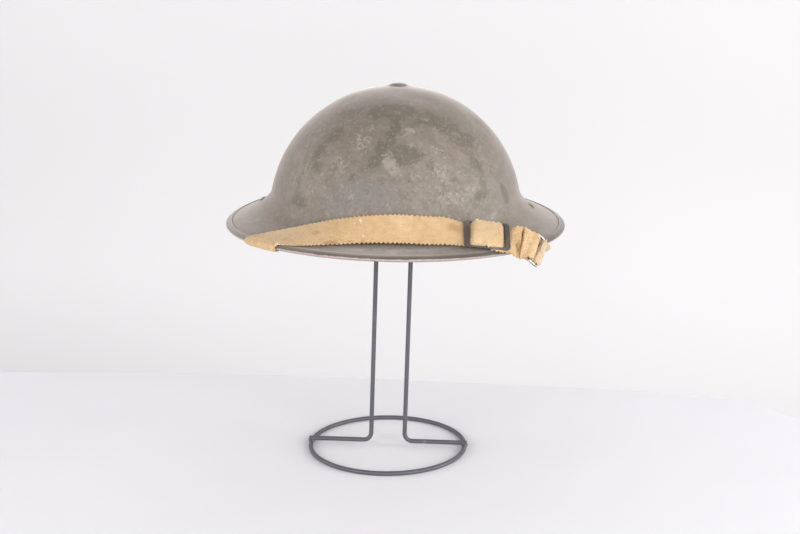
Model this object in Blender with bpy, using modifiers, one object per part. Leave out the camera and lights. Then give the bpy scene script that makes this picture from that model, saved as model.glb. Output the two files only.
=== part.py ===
"""A pressed steel helmet of the shallow, wide-brimmed kind, with its web chin strap hooked over the front of
the brim, on a plain wire stand. Metres, +Z up, the front of the helmet towards -Y, the floor at z = 0.

Angles round the helmet are in degrees, anticlockwise from +X as seen from above, so its front is at 270.
A place on the shell is an angle and a reach: -1 at the crown, 0 at the foot of the bowl, 1 at the edge."""

import math

import bmesh
import bpy
from mathutils import Euler, Matrix, Vector

# Fits: the clearance left between two pieces that touch
CLEARANCE = 0.0003

# Shell: sizes of its outer face, with heights taken from the plane of the edge
WALL = 0.0012
BOWL_HALF_WIDTH = 0.1087
BOWL_HALF_LENGTH = 0.1169
CROWN_HEIGHT = 0.1141
DOME_CENTRE_HEIGHT = 0.0045
FOOT_HEIGHT_SIDE = 0.0275
FOOT_HEIGHT_FRONT = 0.0124
EDGE_HALF_WIDTH = 0.1454
EDGE_HALF_LENGTH = 0.1516
EDGE_WAVE = 0.0017
DROOP_SIDE = math.radians(29)
DROOP_FRONT = math.radians(16)
FOOT_EASE = 0.32
EDGE_EASE = 0.32
AROUND = 48
DOME_RINGS = 13
BRIM_RINGS = 8

# Folded steel band round the edge
BAND_WALL = 0.0006
BAND_LEG = 0.0050
BAND_FOLD_STEPS = 4

# Rivets: the crown's, and one through each side of the brim
CROWN_HEAD_RADIUS = 0.0082
CROWN_HEAD_HEIGHT = 0.0022
CROWN_SHANK_RADIUS = 0.0020
CROWN_TAIL_RADIUS = 0.0034
SIDE_HEAD_RADIUS = 0.0034
SIDE_HEAD_HEIGHT = 0.0011
SIDE_SHANK_RADIUS = 0.0015
SIDE_TAIL_RADIUS = 0.0026
TAIL_HEIGHT = 0.0008
SIDE_RIVET_REACH = 0.39

# Strap lugs: a riveted clip curled round a wire loop, under each side of the brim
CLIP_WALL = 0.0012
CLIP_WIDTH = 0.0120
CLIP_BACK = 0.0060
CLIP_FRONT = 0.0065
CURL_RADIUS = 0.0023
LUG_WIRE_RADIUS = 0.0012
LUG_LOOP_LENGTH = 0.0088
LUG_LOOP_DIP = math.radians(15)

# Chin strap
STRAP_WIDTH = 0.0240
STRAP_THICKNESS = 0.0018
STRAP_TURN_IN = 0.0160
TAB_TURN_IN = 0.0080
BAR_LEAD = 0.0030
RIM_SLACK = 0.0004
BAR_TURN_STEPS = 8
ACROSS = 4
ROW_PITCH = 0.0045

# Slide buckle and the plated loop at the strap's end
BUCKLE_LENGTH = 0.0380
BUCKLE_END_BAR = 0.0045
BUCKLE_SIDE_BAR = 0.0026
BUCKLE_CENTRE_BAR = 0.0030
BUCKLE_THICKNESS = 0.0018
BUCKLE_CORNER = 0.0022
END_WIRE_RADIUS = 0.0010

# Wire stand
STAND_HEIGHT = 0.3240
WIRE_RADIUS = 0.0020
RING_RADIUS = 0.0700
RING_OFFSET = -0.0071
UPRIGHT_SPACING = 0.0305
UPRIGHT_LEAN = math.radians(1.75)
FOOT_BEND = 0.0070
WELD_SINK = 0.0005
BOW_RADIUS = 0.0750
BOW_HALF_SPAN = 0.0420
BOW_NECK_DROP = 0.0420
BOW_BEND = 0.0080
BOW_STEPS = 12
WIRE_SIDES = 8

# How the helmet sits on the stand: its front lower than its back, its +X side lower than its -X side
FRONT_DIP = math.radians(3.1)
SIDE_DIP = math.radians(0.66)

# Rows across the strap, as the place of its lower edge and of its upper edge: angle, reach and lift off the
# shell's outer face, the lift as a share of the strap's width. A reach over 1 goes on past the brim's edge.
# A row with hug 1 follows the shell between its two edges, and a row with hug 0 is straight.
STRAP_COLUMNS = ("low_angle", "low_reach", "low_lift", "up_angle", "up_reach", "up_lift", "hug")
UNDER_LEFT_BRIM = (
    (200.8, 0.26, -0.44, 196.8, 0.63, -0.42, 0),
    (216.0, 0.40, -0.31, 206.8, 0.72, -0.35, 0),
    (227.0, 0.66, -0.27, 214.5, 0.84, -0.28, 0),
)
OVER_THE_FRONT = (
    (236.0, 0.90, 0.11, 224.0, 0.80, 0.13, 1),
    (240.0, 0.84, 0.12, 230.0, 0.52, 0.18, 0),
    (245.2, 0.68, 0.12, 239.3, 0.02, 0.21, 0),
    (253.3, 0.55, 0.16, 249.5, -0.06, 0.10, 0),
    (264.8, 0.46, 0.21, 263.0, -0.10, 0.07, 0),
    (276.5, 0.47, 0.23, 276.8, -0.10, 0.07, 0),
    (285.8, 0.55, 0.21, 288.2, -0.08, 0.10, 0),
    (292.5, 0.64, 0.18, 296.4, -0.05, 0.18, 0),
)
BUCKLE_ENDS = (
    (296.2, 0.71, 0.19, 301.5, -0.03, 0.28, 0),
    (309.0, 1.09, 0.15, 316.0, 0.75, 0.65, 0),
)
PAST_THE_BUCKLE = (
    (312.2, 1.14, 0.01, 318.0, 0.84, 0.65, 0),
    (314.8, 1.19, -0.08, 319.8, 0.92, 0.65, 0),
)
LOOP_PLACE = (316.2, 1.27, -0.14, 322.5, 0.96, 0.40, 0)
TAB_ROUND_THE_RIM = (
    (320.0, 1.40, -0.22, 328.8, 1.10, 0.32, 0),
    (321.8, 1.32, -0.42, 331.8, 1.09, 0.03, 0),
    (322.5, 1.21, -0.53, 333.2, 1.07, -0.22, 0),
    (325.0, 0.92, -0.60, 336.0, 0.96, -0.33, 0),
    (331.0, 0.59, -0.52, 341.8, 0.78, -0.39, 0),
    (341.2, 0.36, -0.48, 348.0, 0.66, -0.44, 0),
)
RIM_TURN_ANGLES = (234.8, 220.6)


def clear_scene():
    for thing in list(bpy.data.objects):
        bpy.data.objects.remove(thing)


def new_collection(name):
    collection = bpy.data.collections.new(name)
    bpy.context.scene.collection.children.link(collection)
    return collection


def material(name, colour, roughness, metallic):
    """A plain Principled material."""
    made = bpy.data.materials.new(name)
    made.use_nodes = True
    shader = made.node_tree.nodes["Principled BSDF"]
    shader.inputs["Base Color"].default_value = (*colour, 1.0)
    shader.inputs["Roughness"].default_value = roughness
    shader.inputs["Metallic"].default_value = metallic
    made.diffuse_color = (*colour, 1.0)
    return made


def place(name, mesh, collection, finish=None, parent=None, matrix=None):
    """An object for the mesh, in the collection, placed by a matrix in its parent's space."""
    thing = bpy.data.objects.new(name, mesh)
    collection.objects.link(thing)
    if finish:
        mesh.materials.append(finish)
    thing.parent = parent
    if matrix:
        thing.matrix_local = matrix
    return thing


def mesh_from_bmesh(name, bm, sharp_over=math.radians(40)):
    bmesh.ops.recalc_face_normals(bm, faces=bm.faces)
    mesh = bpy.data.meshes.new(name)
    bm.to_mesh(mesh)
    bm.free()
    mesh.shade_smooth()
    mesh.set_sharp_from_angle(angle=sharp_over)
    return mesh


def loft(name, rings, closed_along, closed_across):
    """Faces between rings of points, each ring with as many points as the last."""
    bm = bmesh.new()
    made = [[bm.verts.new(point) for point in ring] for ring in rings]
    count = len(rings[0])
    spans = len(rings) if closed_along else len(rings) - 1
    steps = count if closed_across else count - 1
    for i in range(spans):
        here = made[i]
        there = made[(i + 1) % len(rings)]
        for j in range(steps):
            k = (j + 1) % count
            bm.faces.new((here[j], here[k], there[k], there[j]))
    return mesh_from_bmesh(name, bm)


def curve_to_mesh(name, curve_object):
    """The curve object's tube as a welded mesh, with the curve object removed."""
    bpy.context.view_layer.update()
    graph = bpy.context.evaluated_depsgraph_get()
    mesh = bpy.data.meshes.new_from_object(curve_object.evaluated_get(graph))
    mesh.name = name
    bm = bmesh.new()
    bm.from_mesh(mesh)
    bmesh.ops.remove_doubles(bm, verts=bm.verts, dist=0.00001)
    bmesh.ops.recalc_face_normals(bm, faces=bm.faces)
    bm.to_mesh(mesh)
    bm.free()
    mesh.shade_smooth()
    mesh.set_sharp_from_angle(angle=math.radians(40))
    bpy.data.objects.remove(curve_object)
    return mesh


def wire(name, points, radius, closed, collection):
    """A round wire through the points, as a mesh."""
    curve = bpy.data.curves.new(name, "CURVE")
    curve.dimensions = "3D"
    curve.bevel_depth = radius
    curve.bevel_resolution = 2
    curve.use_fill_caps = True
    spline = curve.splines.new("POLY")
    spline.points.add(len(points) - 1)
    for point, position in zip(spline.points, points):
        point.co = (*position, 1.0)
    spline.use_cyclic_u = closed
    guide = bpy.data.objects.new(name, curve)
    collection.objects.link(guide)
    return curve_to_mesh(name, guide)


def add_boolean(thing, operation, other):
    boolean = thing.modifiers.new(operation.lower() + "_" + other.name, "BOOLEAN")
    boolean.operation = operation
    boolean.object = other


def hide_guide(guide):
    guide.hide_render = True
    guide.display_type = "WIRE"


def rounded_path(corners, radii, steps=5):
    """The corners joined by straight runs, each inner corner turned with its own radius."""
    path = [Vector(corners[0])]
    for before, corner, after, radius in zip(corners, corners[1:], corners[2:], radii):
        corner = Vector(corner)
        come = (Vector(before) - corner).normalized()
        leave = (Vector(after) - corner).normalized()
        half = come.angle(leave) / 2
        centre = corner + (come + leave).normalized() * radius / math.sin(half)
        start = corner + come * radius / math.tan(half) - centre
        axis = come.cross(leave).normalized()
        turn = math.pi - 2 * half
        for i in range(steps + 1):
            path.append(centre + Matrix.Rotation(-turn * i / steps, 3, axis) @ start)
    path.append(Vector(corners[-1]))
    return path


# The shell's outer face, worked out from one section through its side and one through its front


def section(half, foot_height, edge_half, edge_height, droop, reach):
    """Distance out and height of the outer face: an elliptic dome, then a brim that eases out of it."""
    rise = CROWN_HEIGHT - DOME_CENTRE_HEIGHT
    foot_turn = math.acos((foot_height - DOME_CENTRE_HEIGHT) / rise)
    if reach <= 0:
        turn = foot_turn * (reach + 1)
        return Vector((half * math.sin(turn), DOME_CENTRE_HEIGHT + rise * math.cos(turn)))
    foot = Vector((half * math.sin(foot_turn), foot_height))
    edge = Vector((edge_half, edge_height))
    run = (edge - foot).length
    down = Vector((half * math.cos(foot_turn), -rise * math.sin(foot_turn))).normalized()
    out = Vector((math.cos(droop), -math.sin(droop)))
    pull_foot = foot + down * FOOT_EASE * run
    pull_edge = edge - out * EDGE_EASE * run
    back = 1 - reach
    return (
        foot * back**3
        + pull_foot * 3 * back**2 * reach
        + pull_edge * 3 * back * reach**2
        + edge * reach**3
    )


def shell_point(angle, reach):
    """A point of the shell's outer face, in the helmet's frame."""
    turn = math.radians(angle)
    across = math.cos(turn)
    along = math.sin(turn)
    side = section(BOWL_HALF_WIDTH, FOOT_HEIGHT_SIDE, EDGE_HALF_WIDTH, -EDGE_WAVE, DROOP_SIDE, reach)
    front = section(BOWL_HALF_LENGTH, FOOT_HEIGHT_FRONT, EDGE_HALF_LENGTH, EDGE_WAVE, DROOP_FRONT, reach)
    return Vector((side.x * across, front.x * along, side.y * across**2 + front.y * along**2))


def shell_frame(angle, reach):
    """A point of the outer face with its directions down the slope, round the shell and out of the face."""
    nudge = 0.001
    point = shell_point(angle, reach)
    low = max(reach - nudge, -1)
    high = min(reach + nudge, 1)
    down = (shell_point(angle, high) - shell_point(angle, low)).normalized()
    around = (shell_point(angle + nudge, reach) - shell_point(angle - nudge, reach)).normalized()
    out = down.cross(around).normalized()
    return point, down, around, out


def off_shell(angle, reach, lift):
    """A point at a lift over the shell, or past its edge along the brim's slope."""
    point, down, _, out = shell_frame(angle, min(reach, 1))
    past = max(reach - 1, 0) * (shell_point(angle, 1) - shell_point(angle, 0)).length
    return point + down * past + out * lift


def shell_rings():
    """Rings of the outer face from just under the crown to the edge."""
    reaches = [-1 + (i + 1) / DOME_RINGS for i in range(DOME_RINGS)]
    reaches += [(i + 1) / BRIM_RINGS for i in range(BRIM_RINGS)]
    angles = [360 * j / AROUND for j in range(AROUND)]
    return [[shell_point(angle, reach) for angle in angles] for reach in reaches]


def crown_frame():
    return Matrix.Translation((0, 0, CROWN_HEIGHT))


def side_frame(angle):
    """The frame of a brim rivet: X down the brim's slope, Z out of its face."""
    point, down, around, out = shell_frame(angle, SIDE_RIVET_REACH)
    turned = Matrix((down, out.cross(down), out)).transposed().to_4x4()
    return Matrix.Translation(point) @ turned


def rivet_hole(radius, frame):
    """A cylinder along the rivet's shank, with the running clearance round it."""
    bm = bmesh.new()
    hole = radius + CLEARANCE
    bmesh.ops.create_cone(bm, cap_ends=True, segments=16, radius1=hole, radius2=hole, depth=WALL * 8, matrix=frame)
    return bm


def make_shell(collection, cutters, seat):
    rings = shell_rings()
    bm = bmesh.new()
    crown = bm.verts.new(shell_point(0, -1))
    made = [[bm.verts.new(point) for point in ring] for ring in rings]
    for j in range(AROUND):
        k = (j + 1) % AROUND
        bm.faces.new((crown, made[0][j], made[0][k]))
        for here, there in zip(made, made[1:]):
            bm.faces.new((here[j], there[j], there[k], here[k]))
    finish = material("shell_paint", (0.33, 0.29, 0.24), 0.6, 0.1)
    shell = place("helmet_shell", mesh_from_bmesh("helmet_shell", bm), collection, finish, seat)
    solid = shell.modifiers.new("wall", "SOLIDIFY")
    solid.thickness = WALL
    solid.offset = -1
    solid.use_even_offset = True
    holes = (("crown_rivet_hole", CROWN_SHANK_RADIUS, crown_frame()),)
    holes += (("side_rivet_hole_right", SIDE_SHANK_RADIUS, side_frame(0)),)
    holes += (("side_rivet_hole_left", SIDE_SHANK_RADIUS, side_frame(180)),)
    for name, radius, frame in holes:
        mesh = mesh_from_bmesh(name, rivet_hole(radius, frame))
        cutter = place(name, mesh, cutters, parent=seat)
        hide_guide(cutter)
        add_boolean(shell, "DIFFERENCE", cutter)


def make_rim_band(collection, seat):
    """A U of thin steel folded over the edge, with its legs lying along both faces of the brim."""
    half = WALL / 2 + CLEARANCE
    rings = []
    for j in range(AROUND):
        angle = 360 * j / AROUND
        edge, out, _, up = shell_frame(angle, 1)
        run = (edge - shell_point(angle, 0)).length
        inner, _, _, up_in = shell_frame(angle, 1 - BAND_LEG / (3 * EDGE_EASE * run))
        middle = edge - up * WALL / 2
        middle_in = inner - up_in * WALL / 2
        ring = [middle_in + up_in * half, middle_in + up_in * (half + BAND_WALL)]
        for i in range(BAND_FOLD_STEPS + 1):
            turn = math.pi * i / BAND_FOLD_STEPS
            height = math.cos(turn) * (half + BAND_WALL)
            ring.append(middle + up * height + out * math.sin(turn) * (CLEARANCE + BAND_WALL))
        ring += [middle_in - up_in * (half + BAND_WALL), middle_in - up_in * half]
        ring += [middle - up * half + out * CLEARANCE, middle + up * half + out * CLEARANCE]
        rings.append(ring)
    finish = material("rim_band_paint", (0.27, 0.25, 0.19), 0.55, 0.3)
    place("rim_band", loft("rim_band", rings, True, True), collection, finish, seat)


def make_rivet(name, head_radius, head_height, shank_radius, tail_radius, grip, frame, collection, finish, seat):
    """A domed head, a shank through the grip and a flat tail, turned in one piece about Z."""
    sphere = (head_radius**2 + head_height**2) / (2 * head_height)
    spread = math.asin(head_radius / sphere)
    dome_steps = 4
    profile = []
    for i in range(dome_steps + 1):
        turn = spread * i / dome_steps
        profile.append((sphere * math.sin(turn), CLEARANCE + head_height - sphere * (1 - math.cos(turn))))
    tail = -grip - CLEARANCE
    profile += [(shank_radius, CLEARANCE), (shank_radius, tail), (tail_radius, tail)]
    profile += [(tail_radius, tail - TAIL_HEIGHT), (0, tail - TAIL_HEIGHT)]
    mesh = bpy.data.meshes.new(name)
    edges = [(i, i + 1) for i in range(len(profile) - 1)]
    mesh.from_pydata([(r, 0, z) for r, z in profile], edges, [])
    rivet = place(name, mesh, collection, finish, seat, frame)
    screw = rivet.modifiers.new("turn", "SCREW")
    screw.axis = "Z"
    screw.steps = 16
    screw.render_steps = screw.steps
    screw.use_merge_vertices = True
    screw.merge_threshold = 0.00005


def make_rivets(collection, seat):
    finish = material("rivet_paint", (0.30, 0.27, 0.23), 0.5, 0.4)
    make_rivet(
        "crown_rivet", CROWN_HEAD_RADIUS, CROWN_HEAD_HEIGHT, CROWN_SHANK_RADIUS, CROWN_TAIL_RADIUS,
        WALL, crown_frame(), collection, finish, seat,
    )
    grip = WALL + CLEARANCE + CLIP_WALL
    for name, angle in (("side_rivet_right", 0), ("side_rivet_left", 180)):
        make_rivet(
            name, SIDE_HEAD_RADIUS, SIDE_HEAD_HEIGHT, SIDE_SHANK_RADIUS, SIDE_TAIL_RADIUS,
            grip, side_frame(angle), collection, finish, seat,
        )


# Strap lugs. Their frame is the rivet's: X down the slope, Z out of the brim, and ahead along Y or against it


def ahead_of(angle):
    """Which way along the lug frame's Y the helmet's front lies."""
    return 1 if angle == 180 else -1


def lug_bars(angle):
    """The middles of the wire loop's rear and front bars, in the lug's frame."""
    ahead = ahead_of(angle)
    depth = WALL + CLEARANCE + CLIP_WALL + CURL_RADIUS - WELD_SINK
    rear = Vector((0, ahead * CLIP_FRONT, -depth))
    reach = Vector((0, ahead * math.cos(LUG_LOOP_DIP), -math.sin(LUG_LOOP_DIP)))
    return rear, rear + reach * LUG_LOOP_LENGTH


def box_mesh(name, low, high):
    bm = bmesh.new()
    size = Vector(high) - Vector(low)
    middle = (Vector(high) + Vector(low)) / 2
    bmesh.ops.create_cube(bm, size=1, matrix=Matrix.Translation(middle) @ Matrix.Diagonal((*size, 1)))
    return mesh_from_bmesh(name, bm)


def make_lug(name, angle, collection, cutters, finish, seat):
    """The clip plate, with its curl and the wire loop joined to it and the rivet's hole cut through."""
    frame = side_frame(angle)
    ahead = ahead_of(angle)
    top = -WALL - CLEARANCE
    ends = sorted((-ahead * CLIP_BACK, ahead * CLIP_FRONT))
    plate = box_mesh(name, (-CLIP_WIDTH / 2, ends[0], top - CLIP_WALL), (CLIP_WIDTH / 2, ends[1], top))
    lug = place(name, plate, collection, finish, seat, frame)
    rear, front = lug_bars(angle)
    curl = bmesh.new()
    lie_along = Matrix.Translation(rear) @ Matrix.Rotation(math.radians(90), 4, "Y")
    bmesh.ops.create_cone(
        curl, cap_ends=True, segments=14, radius1=CURL_RADIUS, radius2=CURL_RADIUS,
        depth=CLIP_WIDTH, matrix=lie_along,
    )
    side = Vector((STRAP_WIDTH / 2 + CLEARANCE + LUG_WIRE_RADIUS, 0, 0))
    corners = (rear, rear + side, front + side, front - side, rear - side, rear)
    loop_points = rounded_path(corners, [LUG_WIRE_RADIUS * 1.5] * 4, steps=3)[:-1]
    pieces = ((name + "_curl", mesh_from_bmesh(name + "_curl", curl)),)
    pieces += ((name + "_loop", wire(name + "_loop", loop_points, LUG_WIRE_RADIUS, True, cutters)),)
    for piece_name, mesh in pieces:
        piece = place(piece_name, mesh, cutters, parent=seat, matrix=frame)
        hide_guide(piece)
        add_boolean(lug, "UNION", piece)
    hole = mesh_from_bmesh(name + "_hole", rivet_hole(SIDE_SHANK_RADIUS, Matrix.Identity(4)))
    cutter = place(name + "_hole", hole, cutters, parent=seat, matrix=frame)
    hide_guide(cutter)
    add_boolean(lug, "DIFFERENCE", cutter)


def make_lugs(collection, cutters, seat):
    finish = material("lug_steel", (0.20, 0.19, 0.18), 0.5, 0.7)
    make_lug("strap_lug_right", 0, collection, cutters, finish, seat)
    make_lug("strap_lug_left", 180, collection, cutters, finish, seat)


# Webbing. A row is a list of points across the strap, from its lower edge to its upper one


def middle_of(row):
    return (row[0] + row[-1]) / 2


def straight_row(low, up):
    return [low.lerp(up, i / ACROSS) for i in range(ACROSS + 1)]


def table_row(values):
    """The row of points that one line of a table gives."""
    row = dict(zip(STRAP_COLUMNS, values))
    low = (row["low_angle"], row["low_reach"], row["low_lift"] * STRAP_WIDTH)
    up = (row["up_angle"], row["up_reach"], row["up_lift"] * STRAP_WIDTH)
    straight = straight_row(off_shell(*low), off_shell(*up))
    if not row["hug"]:
        return straight
    followed = []
    for i in range(ACROSS + 1):
        share = i / ACROSS
        mixed = [a + (b - a) * share for a, b in zip(low, up)]
        followed.append(off_shell(*mixed))
    return followed


def rim_turn_rows():
    """Rows that carry the strap round the banded edge, from under the brim to its top."""
    around_band = WALL / 2 + CLEARANCE + BAND_WALL + CLEARANCE + STRAP_THICKNESS / 2
    rows = []
    for turn in range(-90, 91, 30):
        height = (around_band + RIM_SLACK) * math.sin(math.radians(turn))
        out_by = (around_band + RIM_SLACK) * math.cos(math.radians(turn))
        row = []
        for i in range(ACROSS + 1):
            share = i / ACROSS
            angle = RIM_TURN_ANGLES[0] + (RIM_TURN_ANGLES[1] - RIM_TURN_ANGLES[0]) * share
            point, out, _, up = shell_frame(angle, 1)
            row.append(point - up * WALL / 2 + up * height + out * (out_by - BAND_WALL))
        rows.append(row)
    return rows


def smooth_rows(rows):
    """Rows at an even pitch on a smooth curve through the given rows."""
    made = []
    last = len(rows) - 1
    lengths = [(middle_of(b) - middle_of(a)).length for a, b in zip(rows, rows[1:])]
    for i in range(last):
        length = lengths[i]
        before = lengths[max(i - 1, 0)]
        after = lengths[min(i + 1, last - 1)]
        quartet = (rows[max(i - 1, 0)], rows[i], rows[i + 1], rows[min(i + 2, last)])
        steps = max(1, round(length / ROW_PITCH))
        for step in range(steps):
            t = step / steps
            row = []
            for a, b, c, d in zip(*quartet):
                chord = c - b
                leave = chord if i == 0 else ((b - a) * length**2 / before + chord * before) / (before + length)
                arrive = chord if i == last - 1 else (chord * after + (d - c) * length**2 / after) / (after + length)
                bend = (chord * 3 - leave * 2 - arrive) * t**2 + (leave + arrive - chord * 2) * t**3
                row.append(b + leave * t + bend)
            made.append(row)
    made.append(rows[last])
    return made


def bar_start(bar, away, across, main_side, wire_radius):
    """The main run's first rows, lying beside a bar on its main side and leading away from it."""
    start = bar + main_side * (wire_radius + CLEARANCE + STRAP_THICKNESS / 2)
    half = across * STRAP_WIDTH / 2
    centres = [start + away * BAR_LEAD * share for share in (0, 0.5, 1)]
    return [straight_row(centre - half, centre + half) for centre in centres]


def turned_end(rows, bar, wire_radius, turn_in):
    """Rows of a strap's end, from its cut edge to the turn round the bar that the rows lead away from.

    The turned-in end lies along the run on the bar's side, a clearance over it."""
    radius = wire_radius + CLEARANCE + STRAP_THICKNESS / 2
    layer = STRAP_THICKNESS + CLEARANCE * 2
    ease = radius * 2.5
    first = rows[0]
    across = (first[-1] - first[0]).normalized()
    away = (middle_of(rows[1]) - middle_of(first)).normalized()
    side = 1 if away.cross(across).dot(bar - middle_of(first)) > 0 else -1
    towards_bar = away.cross(across) * side
    turned = []
    for i in range(BAR_TURN_STEPS):
        turn = math.pi * i / BAR_TURN_STEPS
        shift = towards_bar * radius * (1 - math.cos(turn)) - away * radius * math.sin(turn)
        turned.append([point + shift for point in first])
    gone = 0
    for i, row in enumerate(rows[:-1]):
        if i:
            gone += (middle_of(row) - middle_of(rows[i - 1])).length
        if gone > turn_in:
            break
        settle = min(max(gone - radius / 2, 0) / ease, 1)
        settle = settle * settle * (3 - 2 * settle)
        lift = 2 * radius + (layer - 2 * radius) * settle
        before = rows[max(i - 1, 0)]
        after = rows[i + 1]
        lifted = []
        for k, point in enumerate(row):
            out = (after[k] - before[k]).cross(row[-1] - row[0]).normalized() * side
            lifted.append(point + out * lift)
        turned.append(lifted)
    turned.reverse()
    return turned[:-1]


def frame_between(row_a, row_b):
    """Middle, direction, width direction and outward direction of the flat stretch between two rows."""
    along = (middle_of(row_b) - middle_of(row_a)).normalized()
    across = (row_a[-1] - row_a[0]) + (row_b[-1] - row_b[0])
    across = (across - along * across.dot(along)).normalized()
    return (middle_of(row_a) + middle_of(row_b)) / 2, along, across, along.cross(across)


def buckle_frame():
    return frame_between(*[table_row(values) for values in BUCKLE_ENDS])


def weave_rows():
    """Rows through the buckle: under its end bar, over its centre bar and under its other end bar."""
    middle, along, across, out = buckle_frame()
    low = -(BUCKLE_THICKNESS / 2 + CLEARANCE * 1.6 + STRAP_THICKNESS / 2)
    high = BUCKLE_THICKNESS / 2 + CLEARANCE * 3 + STRAP_THICKNESS / 2
    under_bar = BUCKLE_LENGTH / 2 - BUCKLE_END_BAR
    beyond = BUCKLE_LENGTH / 2 + STRAP_THICKNESS / 2
    shares = [i / 6 for i in range(-6, 7)]
    places = [(under_bar * share, math.cos(math.pi * share)) for share in shares]
    places = [(-beyond, -1)] + places + [(beyond, -1)]
    rows = []
    for run, wave in places:
        centre = middle + along * run + out * (low + (high - low) * (0.5 + 0.5 * wave))
        rows.append(straight_row(centre - across * STRAP_WIDTH / 2, centre + across * STRAP_WIDTH / 2))
    return rows


def loop_bars():
    """Middles of the end loop's two bars, with the directions along the strap, across it and outwards."""
    before = table_row(PAST_THE_BUCKLE[-1])
    row = table_row(LOOP_PLACE)
    across = (row[-1] - row[0]).normalized()
    along = middle_of(row) - middle_of(before)
    along = (along - across * along.dot(across)).normalized()
    out = along.cross(across)
    strap_bar = middle_of(row) + out * (END_WIRE_RADIUS + CLEARANCE + STRAP_THICKNESS / 2)
    span = 2 * (END_WIRE_RADIUS + CLEARANCE + STRAP_THICKNESS) + CLEARANCE * 2
    return strap_bar, strap_bar + along * span, along, across, out


def lug_start(angle):
    """The front bar of a lug, and the rows that the strap leaves it by, on the bar's lower side."""
    frame = side_frame(angle)
    turned = frame.to_3x3()
    rear, front = lug_bars(angle)
    away = (turned @ (front - rear)).normalized()
    across = turned @ Vector((1, 0, 0))
    below = away.cross(across)
    if below.z > 0:
        below = -below
    bar = frame @ front
    return bar, bar_start(bar, away, across, below, LUG_WIRE_RADIUS)


def strap_rows():
    """All rows of the chin strap, from the left lug to the end loop."""
    lug_bar, lug_rows = lug_start(180)
    strap_bar, _, along, across, out = loop_bars()
    loop_rows = bar_start(strap_bar, -along, across, -out, END_WIRE_RADIUS)[::-1]
    under = [table_row(values) for values in UNDER_LEFT_BRIM]
    over = [table_row(values) for values in OVER_THE_FRONT]
    past = [table_row(values) for values in PAST_THE_BUCKLE]
    weave = weave_rows()
    first = smooth_rows(lug_rows + under + rim_turn_rows() + over + [weave[0]])
    last = smooth_rows([weave[-1]] + past + loop_rows)
    lug_end = turned_end(first, lug_bar, LUG_WIRE_RADIUS, STRAP_TURN_IN)
    loop_end = turned_end(last[::-1], strap_bar, END_WIRE_RADIUS, STRAP_TURN_IN)
    return lug_end + first + weave[1:-1] + last + loop_end[::-1]


def tab_rows():
    """All rows of the tab, from the end loop round the rim to the right lug."""
    _, tab_bar, along, across, out = loop_bars()
    loop_rows = bar_start(tab_bar, along, across, out, END_WIRE_RADIUS)
    lug_bar, lug_rows = lug_start(0)
    lug_rows = lug_rows[::-1]
    run = smooth_rows(loop_rows + [table_row(values) for values in TAB_ROUND_THE_RIM] + lug_rows)
    loop_end = turned_end(run, tab_bar, END_WIRE_RADIUS, TAB_TURN_IN)
    lug_end = turned_end(run[::-1], lug_bar, LUG_WIRE_RADIUS, STRAP_TURN_IN)
    return loop_end + run + lug_end[::-1]


def make_webbing(name, rows, collection, finish, seat):
    """The strap's middle surface through the rows, given its thickness."""
    strap = place(name, loft(name, rows, False, False), collection, finish, seat)
    solid = strap.modifiers.new("thickness", "SOLIDIFY")
    solid.thickness = STRAP_THICKNESS
    solid.offset = 0
    solid.use_even_offset = True


def make_straps(collection, seat):
    finish = material("webbing", (0.62, 0.42, 0.18), 0.9, 0.0)
    make_webbing("chin_strap", strap_rows(), collection, finish, seat)
    make_webbing("strap_tab", tab_rows(), collection, finish, seat)


# Buckle and end loop


def add_rectangle(curve, low, high, corner):
    """A closed rectangle with rounded corners in the curve's own plane."""
    points = []
    centres = ((high[0], high[1], 0), (low[0], high[1], 90), (low[0], low[1], 180), (high[0], low[1], 270))
    for x, y, start in centres:
        centre_x = x - math.copysign(corner, x - (low[0] + high[0]) / 2)
        centre_y = y - math.copysign(corner, y - (low[1] + high[1]) / 2)
        for i in range(4):
            turn = math.radians(start + 30 * i)
            points.append((centre_x + corner * math.cos(turn), centre_y + corner * math.sin(turn)))
    spline = curve.splines.new("POLY")
    spline.points.add(len(points) - 1)
    for point, (x, y) in zip(spline.points, points):
        point.co = (x, y, 0, 1)
    spline.use_cyclic_u = True


def make_buckle(collection, seat):
    """A flat slide with two windows, one each side of its centre bar."""
    middle, along, across, out = buckle_frame()
    half_length = BUCKLE_LENGTH / 2
    window_height = STRAP_WIDTH / 2 + CLEARANCE
    half_height = window_height + BUCKLE_SIDE_BAR
    outline = bpy.data.curves.new("buckle", "CURVE")
    outline.dimensions = "2D"
    outline.fill_mode = "BOTH"
    outline.extrude = BUCKLE_THICKNESS / 2
    add_rectangle(outline, (-half_length, -half_height), (half_length, half_height), BUCKLE_CORNER)
    near = BUCKLE_CENTRE_BAR / 2
    far = half_length - BUCKLE_END_BAR
    window_corner = BUCKLE_CORNER / 4
    add_rectangle(outline, (near, -window_height), (far, window_height), window_corner)
    add_rectangle(outline, (-far, -window_height), (-near, window_height), window_corner)
    guide = bpy.data.objects.new("buckle_outline", outline)
    collection.objects.link(guide)
    frame = Matrix.Translation(middle) @ Matrix((along, across, out)).transposed().to_4x4()
    finish = material("dark_steel", (0.10, 0.10, 0.11), 0.45, 0.6)
    place("buckle", curve_to_mesh("buckle", guide), collection, finish, seat, frame)


def make_end_loop(collection, cutters, seat):
    strap_bar, tab_bar, along, across, out = loop_bars()
    side = across * (STRAP_WIDTH / 2 + CLEARANCE + END_WIRE_RADIUS)
    start = strap_bar
    corners = (start, strap_bar + side, tab_bar + side, tab_bar - side, strap_bar - side, start)
    points = rounded_path(corners, [END_WIRE_RADIUS * 1.5] * 4, steps=3)[:-1]
    finish = material("plated_wire", (0.60, 0.60, 0.60), 0.25, 1.0)
    place("end_loop", wire("end_loop", points, END_WIRE_RADIUS, True, cutters), collection, finish, seat)


# Stand


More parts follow.
